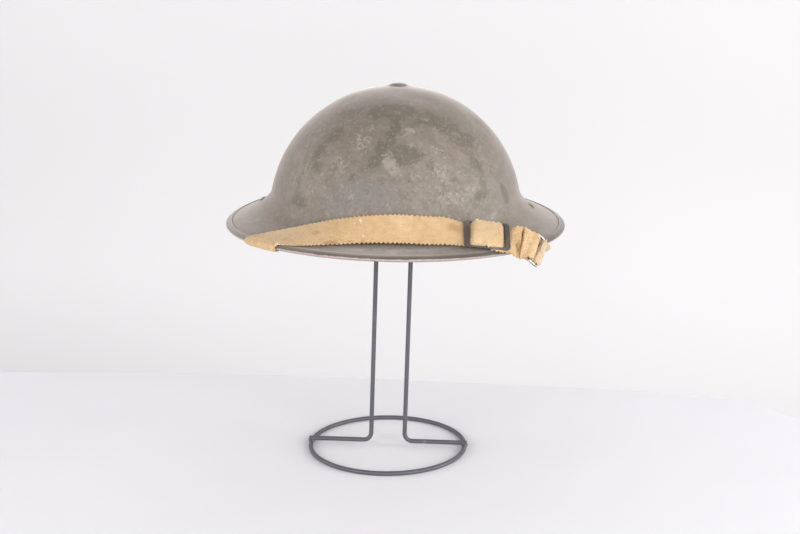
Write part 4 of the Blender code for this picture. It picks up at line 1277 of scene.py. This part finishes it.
def make_webbing(name, colour):
    finish, tree, shader = new_finish(name)
    place = place_of(tree)
    on_strap = mark_of(tree, "on_strap", "Vector")
    cloth = use_group(tree, weave, {"Place": place, "On Strap": on_strap})
    fade = noise_at(tree, place, 32.0, detail=4.0)
    along = add_node(tree, "ShaderNodeSeparateXYZ", None, {0: on_strap}).outputs["Y"]
    kept = times(tree, ramp(tree, along, *KEPT_START), ramp(tree, along, *KEPT_END, 1.0, 0.0))
    dirt_and_shade = ragged_mask(tree, place, mark_of(tree, "stain_and_shade"), 140.0, 0.7, 0.5, 0.3)
    nicked = ragged_mask(tree, place, mark_of(tree, "nick"), 700.0, 1.2, 0.5, 0.15)
    uneven = ramp(tree, noise_at(tree, place, 240.0, detail=3.0), 0.35, 0.65, 0.25, 1.0)
    tone = layered(tree, colour, (
        (ramp(tree, fade, 0.30, 0.52, 0.55, 0.0), WEB_DEEP),
        (ramp(tree, fade, 0.52, 0.75, 0.0, 0.5), WEB_PALE),
        (times(tree, kept, 0.38), WEB_PALE),
        # Stains, with painted shade in the gap under the hem's edge.
        (times(tree, dirt_and_shade, 0.68), STAIN_AND_SHADE),
        (nicked, THREAD),
        # Painted shade between the yarns, in the stain colour.
        (times(tree, ramp(tree, cloth["Shade"], 0.15, 0.7, 0.72, 0.0), uneven), STAIN_AND_SHADE),
        (ramp(tree, noise_at(tree, place, 750.0, detail=2.0), 0.56, 0.70, 0.0, 0.65), WEB_DEEP),
        (ramp(tree, noise_at(tree, place, 520.0, detail=3.0), 0.60, 0.72, 0.0, 0.5), WEB_PALE),
    ))
    tree.links.new(tone, shader.inputs["Base Color"])
    tree.links.new(bump(tree, cloth["Height"], 0.9, 0.0004), shader.inputs["Normal"])
    shader.inputs["Roughness"].default_value = 0.9
    shader.inputs["Sheen Weight"].default_value = 0.25
    shader.inputs["Sheen Roughness"].default_value = 0.5
    shader.inputs["Specular IOR Level"].default_value = 0.2
    return finish


webbing = make_webbing("webbing", WEB)
tab_webbing = make_webbing("tab_webbing", TAB_WEB)
print("finishes:", webbing.name, tab_webbing.name)

# %% [markdown]
# ## The strap's body
# A strap's section is a flat oval. Its edges are not straight lines: the weft turns round the last warp yarn,
# and wear pulls those turns into rounded teeth about three millimetres apart. They are in the mesh, because
# they show against the table and the paint.

# %% Build webbing from rows
FINE_PITCH = 0.00045
SECTION_STEPS = 13
LOOP_PITCH = 0.0034
LOOP_DEPTH = 0.00115
RIPPLE_DEPTH = 0.00016
STAIN_COUNT = 60
NICK_COUNT = 24


def fine_rows(rows, pitch):
    """Rows closer together, evenly spaced, with their distance along the strap."""
    curves = np.array([[tuple(point) for point in row] for row in rows])
    steps = np.linalg.norm(np.diff(curves.mean(axis=1), axis=0), axis=1)
    at = np.concatenate([[0], np.cumsum(steps)])
    count = int(at[-1] / pitch)
    wanted = np.linspace(0, at[-1], count)
    slopes = np.gradient(curves, at, axis=0)
    spot = np.clip(np.searchsorted(at, wanted) - 1, 0, len(at) - 2)
    width = (at[spot + 1] - at[spot])[:, None, None]
    t = ((wanted - at[spot])[:, None, None]) / width
    ends = (2 * t**3 - 3 * t**2 + 1) * curves[spot] + (-2 * t**3 + 3 * t**2) * curves[spot + 1]
    pulls = (t**3 - 2 * t**2 + t) * slopes[spot] + (t**3 - t**2) * slopes[spot + 1]
    return ends + pulls * width, wanted


def spot_levels(along, across, spots):
    """Smooth levels of the spots of one kind, each given on the flat strap."""
    levels = np.zeros_like(along)
    for at_mm, side_mm, length_mm, width_mm, amount in spots:
        gap = ((along * 1000 - at_mm) / length_mm) ** 2 + ((across * 1000 - side_mm) / width_mm) ** 2
        levels = np.maximum(levels, amount * np.exp(-0.7 * gap))
    return levels


def scattered_spots(seed, length_mm, count):
    """Small spots anywhere on a strap of this length."""
    pick = random.Random(seed)
    spots = []
    for _ in range(count):
        size_mm = pick.uniform(0.6, 2.4)
        spots.append((pick.uniform(0, length_mm), pick.uniform(-11, 11), size_mm, size_mm * 0.6,
                      pick.uniform(0.35, 0.7)))
    return spots


def crease_depths(along, across, creases):
    """How deep each point lies in a crease, each a line between two places of the flat strap."""
    depths = np.zeros_like(along)
    for at_mm, side_mm, to_at_mm, to_side_mm, width_mm, depth_mm in creases:
        start = np.array([at_mm, side_mm])
        run = np.array([to_at_mm, to_side_mm]) - start
        gap = np.stack([along * 1000, across * 1000], axis=-1) - start
        share = np.clip(gap @ run / (run @ run), 0, 1)
        away = np.linalg.norm(gap - share[..., None] * run, axis=-1) / width_mm
        depths += depth_mm / 1000 * (np.exp(-away**2) - 0.35 * np.exp(-((away - 2) ** 2)))
    return depths


def web_middle(grid):
    """The strap's middle face, with its directions sideways and outwards and its places across."""
    columns = grid.shape[1]
    shares = (1 - np.cos(np.linspace(0, math.pi, SECTION_STEPS))) / 2
    spots = np.interp(shares, np.linspace(0, 1, columns), np.arange(columns))
    low = np.clip(spots.astype(int), 0, columns - 2)
    part = (spots - low)[None, :, None]
    middle = grid[:, low] * (1 - part) + grid[:, low + 1] * part
    run = np.gradient(middle, axis=0)
    across = np.gradient(middle, axis=1)
    normal = np.cross(run, across)
    normal /= np.linalg.norm(normal, axis=2, keepdims=True)
    sideways = across / np.linalg.norm(across, axis=2, keepdims=True)
    return middle, sideways, normal, shares * 2 - 1


def edge_teeth(along, offset, seed):
    """How far each point moves sideways, in teeth that wander and vary in size."""
    wander = np.array([noise.noise(Vector((value * 90, seed, 0))) for value in along])
    loops = np.abs(np.sin(math.pi * (along / LOOP_PITCH + 0.5 * wander))) ** 1.5 - 0.5
    size = 1 + 0.5 * np.array([noise.noise(Vector((value * 400, seed + 7, 0))) for value in along])
    return (LOOP_DEPTH * loops * size)[:, None] * np.sign(offset) * np.abs(offset) ** 24


def make_web_piece(name, rows, finish, stains_and_shade=(), nicks=(), creases=(), seed=3):
    """A web strap through the rows, with a flat oval section and teeth along both edges."""
    grid, along = fine_rows(rows, FINE_PITCH)
    middle, sideways, normal, offset = web_middle(grid)
    middle = middle + sideways * edge_teeth(along, offset, seed)[:, :, None]
    ripple = [[noise.noise(Vector((value * 60, side * 1.5, seed))) for side in offset] for value in along]
    middle = middle + normal * (np.array(ripple) * RIPPLE_DEPTH)[:, :, None]
    flat_along, flat_across = np.meshgrid(along, offset * STRAP_WIDTH / 2, indexing="ij")
    middle = middle - normal * crease_depths(flat_along, flat_across, creases)[:, :, None]
    thick = STRAP_THICKNESS / 2 * (1 - np.abs(offset) ** 10) ** 0.5
    thick[0] = thick[-1] = STRAP_THICKNESS * 0.16
    top = middle + normal * thick[None, :, None]
    bottom = middle - normal * thick[None, :, None]
    ring = np.concatenate([top, bottom[:, ::-1]], axis=1)
    sides = np.concatenate([offset, offset[::-1]]) * STRAP_WIDTH / 2
    along_all = np.repeat(along[:, None], len(sides), axis=1)
    across_all = np.repeat(sides[None, :], len(along), axis=0)
    length_mm = along[-1] * 1000
    stains_and_shade = (*stains_and_shade, *scattered_spots(seed, length_mm, STAIN_COUNT))
    nicks = (*nicks, *scattered_spots(seed + 1, length_mm, NICK_COUNT))
    marks = {
        "on_strap": np.stack([across_all, along_all, along_all * 0], axis=2).reshape(-1, 3),
        "stain_and_shade": spot_levels(along_all, across_all, stains_and_shade).ravel(),
        "nick": spot_levels(along_all, across_all, nicks).ravel(),
    }
    faces = loft_faces(len(along), len(sides), caps=True)
    piece = object_from(name, ring.reshape(-1, 3), faces, finish, HELMET, marks, math.radians(60))
    print(name, "is", round(along[-1] * 1000), "mm long,", len(faces), "faces")
    return piece


# %% Build the strap and the tab
# Each spot: along the strap and across it in mm, its length and width in mm, amount.
STRAP_STAINS_AND_SHADE = (
    (178.0, 1.0, 4.0, 1.8, 1.0), (196.0, 4.8, 1.8, 1.2, 0.8), (191.0, -11.0, 5.0, 1.5, 1.3),
    (206.0, -10.5, 3.0, 1.2, 0.7), (150.0, -4.0, 8.0, 3.0, 0.5), (297.0, 2.0, 4.0, 12.0, 0.9),
    (286.0, 4.0, 8.0, 5.0, 0.7), (232.0, -2.0, 3.0, 2.0, 0.5), (252.0, 3.0, 5.0, 2.0, 0.4),
    # The last three spots, at 343 to 344 mm, are painted shade in the gap under the hem's lifted edge.
    (330.0, 0.0, 3.0, 14.0, 0.8), (341.0, -4.0, 2.5, 4.0, 1.2), (343.0, 7.0, 0.9, 3.0, 2.5),
    (343.4, 2.5, 0.9, 3.0, 2.5), (344.0, -2.0, 0.9, 2.5, 1.5),
)
STRAP_NICKS = (
    (209.5, 5.4, 1.3, 1.1, 0.7), (214.5, 5.2, 1.3, 1.1, 0.7), (212.0, 4.6, 2.0, 0.6, 0.6),
    (216.0, -6.0, 1.2, 0.9, 0.6), (134.0, -11.8, 2.5, 1.2, 1.1), (305.0, 11.5, 1.6, 1.0, 0.8),
)
# Each crease: where it starts and where it ends, along and across in mm, then its width and depth in mm.
STRAP_CREASES = (
    (337.0, -0.5, 342.0, -7.0, 0.8, 1.5), (333.0, -10.5, 344.0, -8.5, 0.8, 0.9),
    (346.5, 9.0, 344.0, -2.0, 1.0, 0.7), (340.0, -3.0, 345.0, -4.5, 0.7, 0.8),
    (343.0, 8.5, 343.8, 0.0, 0.8, 1.4),
)
strap = make_web_piece("web_strap", strap_rows(), webbing, STRAP_STAINS_AND_SHADE, STRAP_NICKS, STRAP_CREASES)
settle(strap, "webbing", "chin_strap")
tab = make_web_piece("web_tab", tab_rows(), tab_webbing, seed=11)
settle(tab, "webbing", "strap_tab")

# %% [markdown]
# ## Stitches and loose threads
# The turned ends are sewn down with one or two rows of thick thread. Old webbing also sheds: tufts stand up
# where the weave was caught, and a thread hangs from the cut end. They are thin curves laid on the strap's
# own surface.

# %% Make the thread's finish


def make_thread():
    finish, tree, shader = new_finish("thread")
    place = place_of(tree)
    tone = blend_colour(tree, ramp(tree, noise_at(tree, place, 400.0), 0.35, 0.65), WEB, THREAD)
    tree.links.new(tone, shader.inputs["Base Color"])
    twist = noise_at(tree, place, 2400.0, detail=2.0)
    tree.links.new(bump(tree, twist, 0.5, 0.0002), shader.inputs["Normal"])
    shader.inputs["Roughness"].default_value = 0.85
    shader.inputs["Sheen Weight"].default_value = 0.3
    return finish


thread = make_thread()
print("finish:", thread.name)

# %% Lay threads on the webbing
STITCH_LENGTH_MM = 1.7
STITCH_GAP_MM = 0.9
STITCH_RADIUS = 0.00022
FIBRE_RADIUS = 0.00009
STITCHES_ACROSS = 8
STITCH_START_MM = -10.0
STITCH_LIFTS_MM = (0.1, 0.22, 0.25, 0.22, 0.1)
HALF_THICK_MM = STRAP_THICKNESS * 500
TUFTS = (
    (134.0, -11.6), (135.5, -11.0), (209.5, 5.4), (214.5, 5.2), (216.0, -6.0), (305.0, 11.0), (262.0, -11.5),
)


def web_surface(rows):
    """A strap's fine rows with the distance along them and the direction out of them."""
    grid, along = fine_rows(rows, FINE_PITCH)
    normals = np.cross(np.gradient(grid, axis=0), np.gradient(grid, axis=1))
    normals /= np.linalg.norm(normals, axis=2, keepdims=True)
    return grid, along * 1000, normals


def place_on_web(surface, along_mm, across_mm, lift_mm):
    grid, along, normals = surface
    i = int(np.abs(along - along_mm).argmin())
    share = min(max(across_mm / 1000 / STRAP_WIDTH + 0.5, 0), 1) * ACROSS
    k = min(int(share), ACROSS - 1)
    point = grid[i, k] * (k + 1 - share) + grid[i, k + 1] * (share - k)
    return Vector(point + normals[i, k] * lift_mm / 1000)


def stitch_runs(surface, along_mm):
    """Short runs of thread across the strap, on both of its faces."""
    runs = []
    for i in range(STITCHES_ACROSS):
        start = STITCH_START_MM + i * (STITCH_LENGTH_MM + STITCH_GAP_MM)
        for face in (-1, 1):
            run = []
            for j, lift in enumerate(STITCH_LIFTS_MM):
                across_mm = start + STITCH_LENGTH_MM * j / 4
                run.append(place_on_web(surface, along_mm, across_mm, face * (HALF_THICK_MM + lift)))
            runs.append(run)
    return runs


def tuft_runs(surface, places, seed=5, each=9):
    """Fibres that stand up from the strap's front face at the given places."""
    pick = random.Random(seed)
    runs = []
    for along_mm, across_mm in places:
        for _ in range(each):
            turn = pick.uniform(0, math.tau)
            length = pick.uniform(0.8, 2.2)
            height = pick.uniform(0.3, 1.1)
            run = []
            for j in range(5):
                share = j / 4
                curl = turn + share * pick.uniform(-0.9, 0.9)
                lift = HALF_THICK_MM + height * math.sin(share * 2.4)
                run.append(place_on_web(surface, along_mm + math.cos(curl) * length * share,
                                        across_mm + math.sin(curl) * length * share, lift))
            runs.append(run)
    return runs


def hanging_thread(surface):
    """The thread that hangs from the lower corner of the strap's cut end."""
    start = place_on_web(surface, surface[1][-1], -12.0, 0)
    falls = ((0, 0, 0), (-0.4, -0.3, -1.2), (0.3, -0.4, -2.4), (0.1, -0.5, -3.6), (0.9, -0.5, -4.6))
    return [start + Vector(fall) / 1000 for fall in falls]


def thread_piece(name, runs, radius):
    """Many short threads in one curve object."""
    curve = round_curve(name, radius, 1, thread)
    for run in runs:
        add_run(curve, run)
    print(name, "has", len(runs), "threads")
    return linked(name, curve, HELMET)


strap_surface = web_surface(strap_rows())
tab_surface = web_surface(tab_rows())
strap_end = strap_surface[1][-1]
tab_end = tab_surface[1][-1]
stitches = []
for along_mm in (2.5, 5.5, strap_end - 5.0, strap_end - 2.4):
    stitches += stitch_runs(strap_surface, along_mm)
tab_stitches = []
for along_mm in (2.5, tab_end - 5.5, tab_end - 2.5):
    tab_stitches += stitch_runs(tab_surface, along_mm)
settle(thread_piece("strap_stitches", stitches, STITCH_RADIUS), "webbing", "chin_strap")
settle(thread_piece("tab_stitches", tab_stitches, STITCH_RADIUS), "webbing", "strap_tab")
loose = tuft_runs(strap_surface, TUFTS) + [hanging_thread(strap_surface)]
settle(thread_piece("loose_threads", loose, FIBRE_RADIUS), "webbing", "chin_strap")

# %% [markdown]
# ## The slide buckle
# The buckle is stamped from sheet: a rounded outline with two windows, and bars between them. A flat curve
# with three outlines fills itself in between, and a small bevel rounds the edges that the stamping left
# sharp. It sits a little turned on the web.

# %% Build the buckle
BUCKLE_SIDE_BAR = 0.0016
BUCKLE_WINDOW = 0.0224
BUCKLE_RISE = 0.0009
BUCKLE_TURN = math.radians(3.4)
BUCKLE_CENTRE_BAR = 0.0030
BUCKLE_CORNER = 0.0028
BUCKLE_ROUNDING = 0.00055
dark_metal = make_dark_steel("buckle_metal", (0.090, 0.078, 0.074), (0.27, 0.235, 0.21), 0.45, 0.35)


def add_rectangle(curve, low, high, corner):
    """A closed rectangle with rounded corners in the curve's own plane."""
    points = []
    corners = ((high[0], high[1]), (low[0], high[1]), (low[0], low[1]), (high[0], low[1]))
    for quarter, (x, y) in enumerate(corners):
        centre_x = x - math.copysign(corner, x - (low[0] + high[0]) / 2)
        centre_y = y - math.copysign(corner, y - (low[1] + high[1]) / 2)
        for i in range(7):
            turn = math.radians(90 * quarter + 15 * i)
            points.append((centre_x + corner * math.cos(turn), centre_y + corner * math.sin(turn), 0))
    add_run(curve, points, closed=True)


def make_buckle():
    middle, along, across, out = buckle_frame()
    curve = bpy.data.curves.new("slide_buckle", "CURVE")
    curve.dimensions = "2D"
    curve.fill_mode = "BOTH"
    curve.extrude = BUCKLE_THICKNESS / 2 - BUCKLE_ROUNDING
    curve.bevel_depth = BUCKLE_ROUNDING
    curve.bevel_resolution = 4
    curve.offset = -BUCKLE_ROUNDING
    half_length = BUCKLE_LENGTH / 2
    window = BUCKLE_WINDOW / 2
    half_height = window + BUCKLE_SIDE_BAR
    add_rectangle(curve, (-half_length, -half_height), (half_length, half_height), BUCKLE_CORNER)
    near = BUCKLE_CENTRE_BAR / 2
    far = half_length - BUCKLE_END_BAR
    add_rectangle(curve, (near, -window), (far, window), BUCKLE_CORNER / 2)
    add_rectangle(curve, (-far, -window), (-near, window), BUCKLE_CORNER / 2)
    curve.materials.append(dark_metal)
    turned = Matrix((along, across, out)).transposed().to_4x4()
    spin = Matrix.Rotation(BUCKLE_TURN, 4, "Z")
    place = HELMET @ Matrix.Translation(middle + across * BUCKLE_RISE) @ turned @ spin
    return linked("slide_buckle", curve, place)


settle(make_buckle(), "dark_steel", "buckle")

# %% [markdown]
# ## The plated loop
# The loop that joins the strap to the tab is bent from plated wire. Old plating goes cloudy in patches, which
# broad noise gives: it changes the colour and the roughness together.

# %% Build the loop
PLATE_BRIGHT = (0.52, 0.52, 0.50)
PLATE_CLOUDY = (0.34, 0.32, 0.28)


def make_plating():
    finish, tree, shader = new_finish("plating")
    place = place_of(tree)
    cloudy = ramp(tree, noise_at(tree, place, 220.0, detail=5.0), 0.35, 0.7)
    tree.links.new(blend_colour(tree, cloudy, PLATE_BRIGHT, PLATE_CLOUDY), shader.inputs["Base Color"])
    tree.links.new(ramp(tree, cloudy, 0.0, 1.0, 0.22, 0.48), shader.inputs["Roughness"])
    tree.links.new(bump(tree, noise_at(tree, place, 1600.0), 0.15, 0.0001), shader.inputs["Normal"])
    shader.inputs["Metallic"].default_value = 1.0
    return finish


plating = make_plating()


def make_end_loop():
    strap_bar, tab_bar, _, across, _ = loop_bars()
    side = across * (STRAP_WIDTH / 2 + CLEARANCE + END_WIRE_RADIUS)
    corners = (strap_bar, strap_bar + side, tab_bar + side, tab_bar - side, strap_bar - side, strap_bar)
    path = rounded_path(corners, [END_WIRE_RADIUS * 1.5] * 4, steps=8)[:-1]
    return wire_piece("plated_loop", path, END_WIRE_RADIUS, plating, HELMET, closed=True)


settle(make_end_loop(), "plated_wire", "end_loop")

# %% [markdown]
# ## The stand
# The stand is two wires: a ring on the table, and one wire that starts at the ring, climbs, makes the bow
# that carries the bowl and comes down to the ring again. A small weld holds each end.

# %% Make the stand's finish


def make_stand_coat():
    finish, tree, shader = new_finish("stand_coat")
    place = place_of(tree)
    chipped = ragged_mask(tree, place, noise_at(tree, place, 60.0), 500.0, 0.6, 0.74, 0.06)
    tone = blend_colour(tree, noise_at(tree, place, 120.0), (0.060, 0.060, 0.072), (0.095, 0.095, 0.112))
    tree.links.new(blend_colour(tree, chipped, tone, (0.24, 0.23, 0.23)), shader.inputs["Base Color"])
    tree.links.new(ramp(tree, chipped, 0.0, 1.0, 0.42, 0.3), shader.inputs["Roughness"])
    tree.links.new(bump(tree, noise_at(tree, place, 1200.0), 0.25, 0.0002), shader.inputs["Normal"])
    return finish


stand_coat = make_stand_coat()
print("finish:", stand_coat.name)

# %% Build the stand
STAND_HEIGHT = 0.3240
WIRE_RADIUS = 0.0020
RING_RADIUS = 0.0700
RING_OFFSET = -0.0071
UPRIGHT_SPACING = 0.0305
UPRIGHT_LEAN = math.radians(1.75)
FOOT_BEND = 0.0070
BOW_RADIUS = 0.0750
BOW_HALF_SPAN = 0.0420
BOW_NECK_DROP = 0.0420
BOW_BEND = 0.0080
BOW_STEPS = 24
RING_STEPS = 160
WELD_SIZE = (0.0029, 0.0036, 0.0022)
ARM_HEIGHT = WIRE_RADIUS * (2 * math.cos(math.pi / 8) + 1) - WELD_SINK


def leaned(out_by, height):
    """A point of the bent wire, out from the stand's axis at a height, moved over by the lean."""
    lean = max(height - ARM_HEIGHT, 0) * math.tan(UPRIGHT_LEAN)
    return Vector((RING_OFFSET + out_by + lean, 0, height))


def bent_wire_path():
    """The wire from one arm's end up over the bow to the other arm's end."""
    centre = STAND_HEIGHT - WIRE_RADIUS - BOW_RADIUS
    spread = math.asin(BOW_HALF_SPAN / BOW_RADIUS)
    turns = [spread * (2 * i / BOW_STEPS - 1) for i in range(BOW_STEPS + 1)]
    bow = [(BOW_RADIUS * math.sin(turn), centre + BOW_RADIUS * math.cos(turn)) for turn in turns]
    half = UPRIGHT_SPACING / 2
    rise = [(-RING_RADIUS - WIRE_RADIUS, ARM_HEIGHT), (-half, ARM_HEIGHT), (-half, bow[0][1] - BOW_NECK_DROP)]
    fall = [(-out_by, height) for out_by, height in reversed(rise)]
    left = [leaned(*corner) for corner in rise + [bow[0], bow[4]]]
    right = [leaned(*corner) for corner in [bow[-5], bow[-1]] + fall]
    bends = [FOOT_BEND, BOW_BEND, BOW_BEND / 2]
    over = [leaned(*point) for point in bow[5:-5]]
    return rounded_path(left, bends) + over + rounded_path(right, bends[::-1])


def make_weld(side):
    """A blob of weld where an arm's end crosses the ring."""
    bm = bmesh.new()
    bmesh.ops.create_icosphere(bm, subdivisions=4, radius=1)
    for vert in bm.verts:
        lumpy = 1 + 0.16 * noise.noise(vert.co * 2.2 + Vector((side, 0, 0)))
        vert.co = Vector([a * b for a, b in zip(vert.co, WELD_SIZE)]) * lumpy
    mesh = bpy.data.meshes.new("weld")
    bm.to_mesh(mesh)
    bm.free()
    mesh.shade_smooth()
    mesh.materials.append(stand_coat)
    weld = linked("weld_left" if side < 0 else "weld_right", mesh)
    weld.location = (RING_OFFSET + side * RING_RADIUS, 0, ARM_HEIGHT - WIRE_RADIUS * 0.9)
    return weld


ring_path = []
for j in range(RING_STEPS):
    turn = math.tau * j / RING_STEPS
    ring_path.append((RING_OFFSET + RING_RADIUS * math.cos(turn), RING_RADIUS * math.sin(turn), WIRE_RADIUS))
settle(wire_piece("stand_ring", ring_path, WIRE_RADIUS, stand_coat, closed=True), "black_wire", "wire_stand")
settle(wire_piece("stand_wire", bent_wire_path(), WIRE_RADIUS, stand_coat), "black_wire", "wire_stand")
for side in (-1, 1):
    settle(make_weld(side), "black_wire", "wire_stand")

# %% [markdown]
# ## The table, the wall and the light
# The helmet stands on a white table in front of a white wall, so most of its light comes from what surrounds
# it. A cloth hangs over the table's far edge. The wall stands well behind and carries painted light: it glows a
# little, more at its foot than high up. Five soft lights stand round the helmet: three in front and one at each
# side, and a white world fills the rest.

# %% Build the stage
TABLE_EDGE = (
    (-2.400, 0.100), (-0.800, 0.160), (-0.521, 0.176), (-0.312, 0.193), (-0.178, 0.198), (-0.045, 0.196),
    (0.085, 0.189), (0.170, 0.185), (0.252, 0.177), (0.303, 0.171), (0.332, 0.162), (0.351, 0.150),
    (0.369, 0.130), (0.387, 0.104), (0.410, 0.052), (0.440, -0.100), (0.460, -2.400),
)
WALL_BEHIND = 1.45
TABLE_WHITE = (0.792, 0.781, 0.805)
WALL_WHITE = (0.700, 0.688, 0.696)
# Painted light on the wall: a glow, stronger at its foot than high up.
GLOW_LOW = (0.180, 0.175, 0.177)
GLOW_HIGH = (0.030, 0.030, 0.030)
GLOW_HEIGHTS = (-0.415, 0.288)
STAGE_SIDE = 2.4
WALL_FOOT = -1.2
CLOTH_FOOT = -0.5


def make_stage_finish(name, colour, crease, glow=None):
    """A plain finish that may carry painted light: a glow eased between two strengths at two heights above the
    table.
    """
    finish, tree, shader = new_finish(name)
    place = place_of(tree)
    shader.inputs["Base Color"].default_value = (*colour, 1)
    if glow:
        height = add_node(tree, "ShaderNodeSeparateXYZ", None, {0: place}).outputs["Z"]
        tone = blend_colour(tree, ramp(tree, height, *GLOW_HEIGHTS), *glow)
        tree.links.new(tone, shader.inputs["Emission Color"])
        shader.inputs["Emission Strength"].default_value = 1.0
    tree.links.new(bump(tree, noise_at(tree, place, 9.0, detail=3.0), crease, 0.01), shader.inputs["Normal"])
    shader.inputs["Roughness"].default_value = 0.9
    return finish


def make_stage():
    """A table top with a cloth that hangs over its far edge, and a wall that stands behind it."""
    outline = [(x, y, 0) for x, y in TABLE_EDGE] + [(-STAGE_SIDE, -STAGE_SIDE, 0)]
    hem = [(x, y, CLOTH_FOOT) for x, y in TABLE_EDGE]
    top = len(outline)
    faces = [tuple(range(top))[::-1]]
    faces += [(i, i + 1, top + i + 1, top + i) for i in range(len(hem) - 1)]
    cloth = make_stage_finish("table_cloth", TABLE_WHITE, 0.15)
    table = object_from("table", outline + hem, faces, cloth)
    ends = ((-1, WALL_FOOT), (1, WALL_FOOT), (1, STAGE_SIDE), (-1, STAGE_SIDE))
    corners = [(side * STAGE_SIDE, WALL_BEHIND, height) for side, height in ends]
    paper = make_stage_finish("wall_paper", WALL_WHITE, 0.05, (GLOW_LOW, GLOW_HIGH))
    wall = object_from("wall", corners, [(0, 1, 2, 3)], paper)


make_stage()
print("stage: a table and a wall")

# %% Set the light
LIGHTS = (
    ("light_left", (-1.50, -2.20, 0.95), 1.3, 32),
    ("light_right", (1.75, -2.10, 0.95), 1.3, 45),
    ("light_front", (0.10, -2.50, 0.30), 1.2, 20),
    ("light_side", (1.80, -0.10, 0.60), 0.9, 22),
    ("light_side_left", (-1.80, -0.10, 0.60), 0.9, 11),
)
AIM = Vector((0, 0, 0.2))
WORLD_STRENGTH = 0.42


def add_lights():
    for name, place, size, power in LIGHTS:
        lamp = bpy.data.lights.new(name, "AREA")
        lamp.size = size
        lamp.energy = power
        light = bpy.data.objects.new(name, lamp)
        scene.collection.objects.link(light)
        light.location = place
        light.rotation_euler = (AIM - Vector(place)).to_track_quat("-Z", "Y").to_euler()
    world = bpy.data.worlds.new("studio")
    world.use_nodes = True
    background = world.node_tree.nodes["Background"]
    background.inputs["Color"].default_value = (1.0, 1.0, 1.0, 1.0)
    background.inputs["Strength"].default_value = WORLD_STRENGTH
    scene.world = world
    scene.view_settings.view_transform = "Standard"


add_lights()
print("lights:", [light[0] for light in LIGHTS])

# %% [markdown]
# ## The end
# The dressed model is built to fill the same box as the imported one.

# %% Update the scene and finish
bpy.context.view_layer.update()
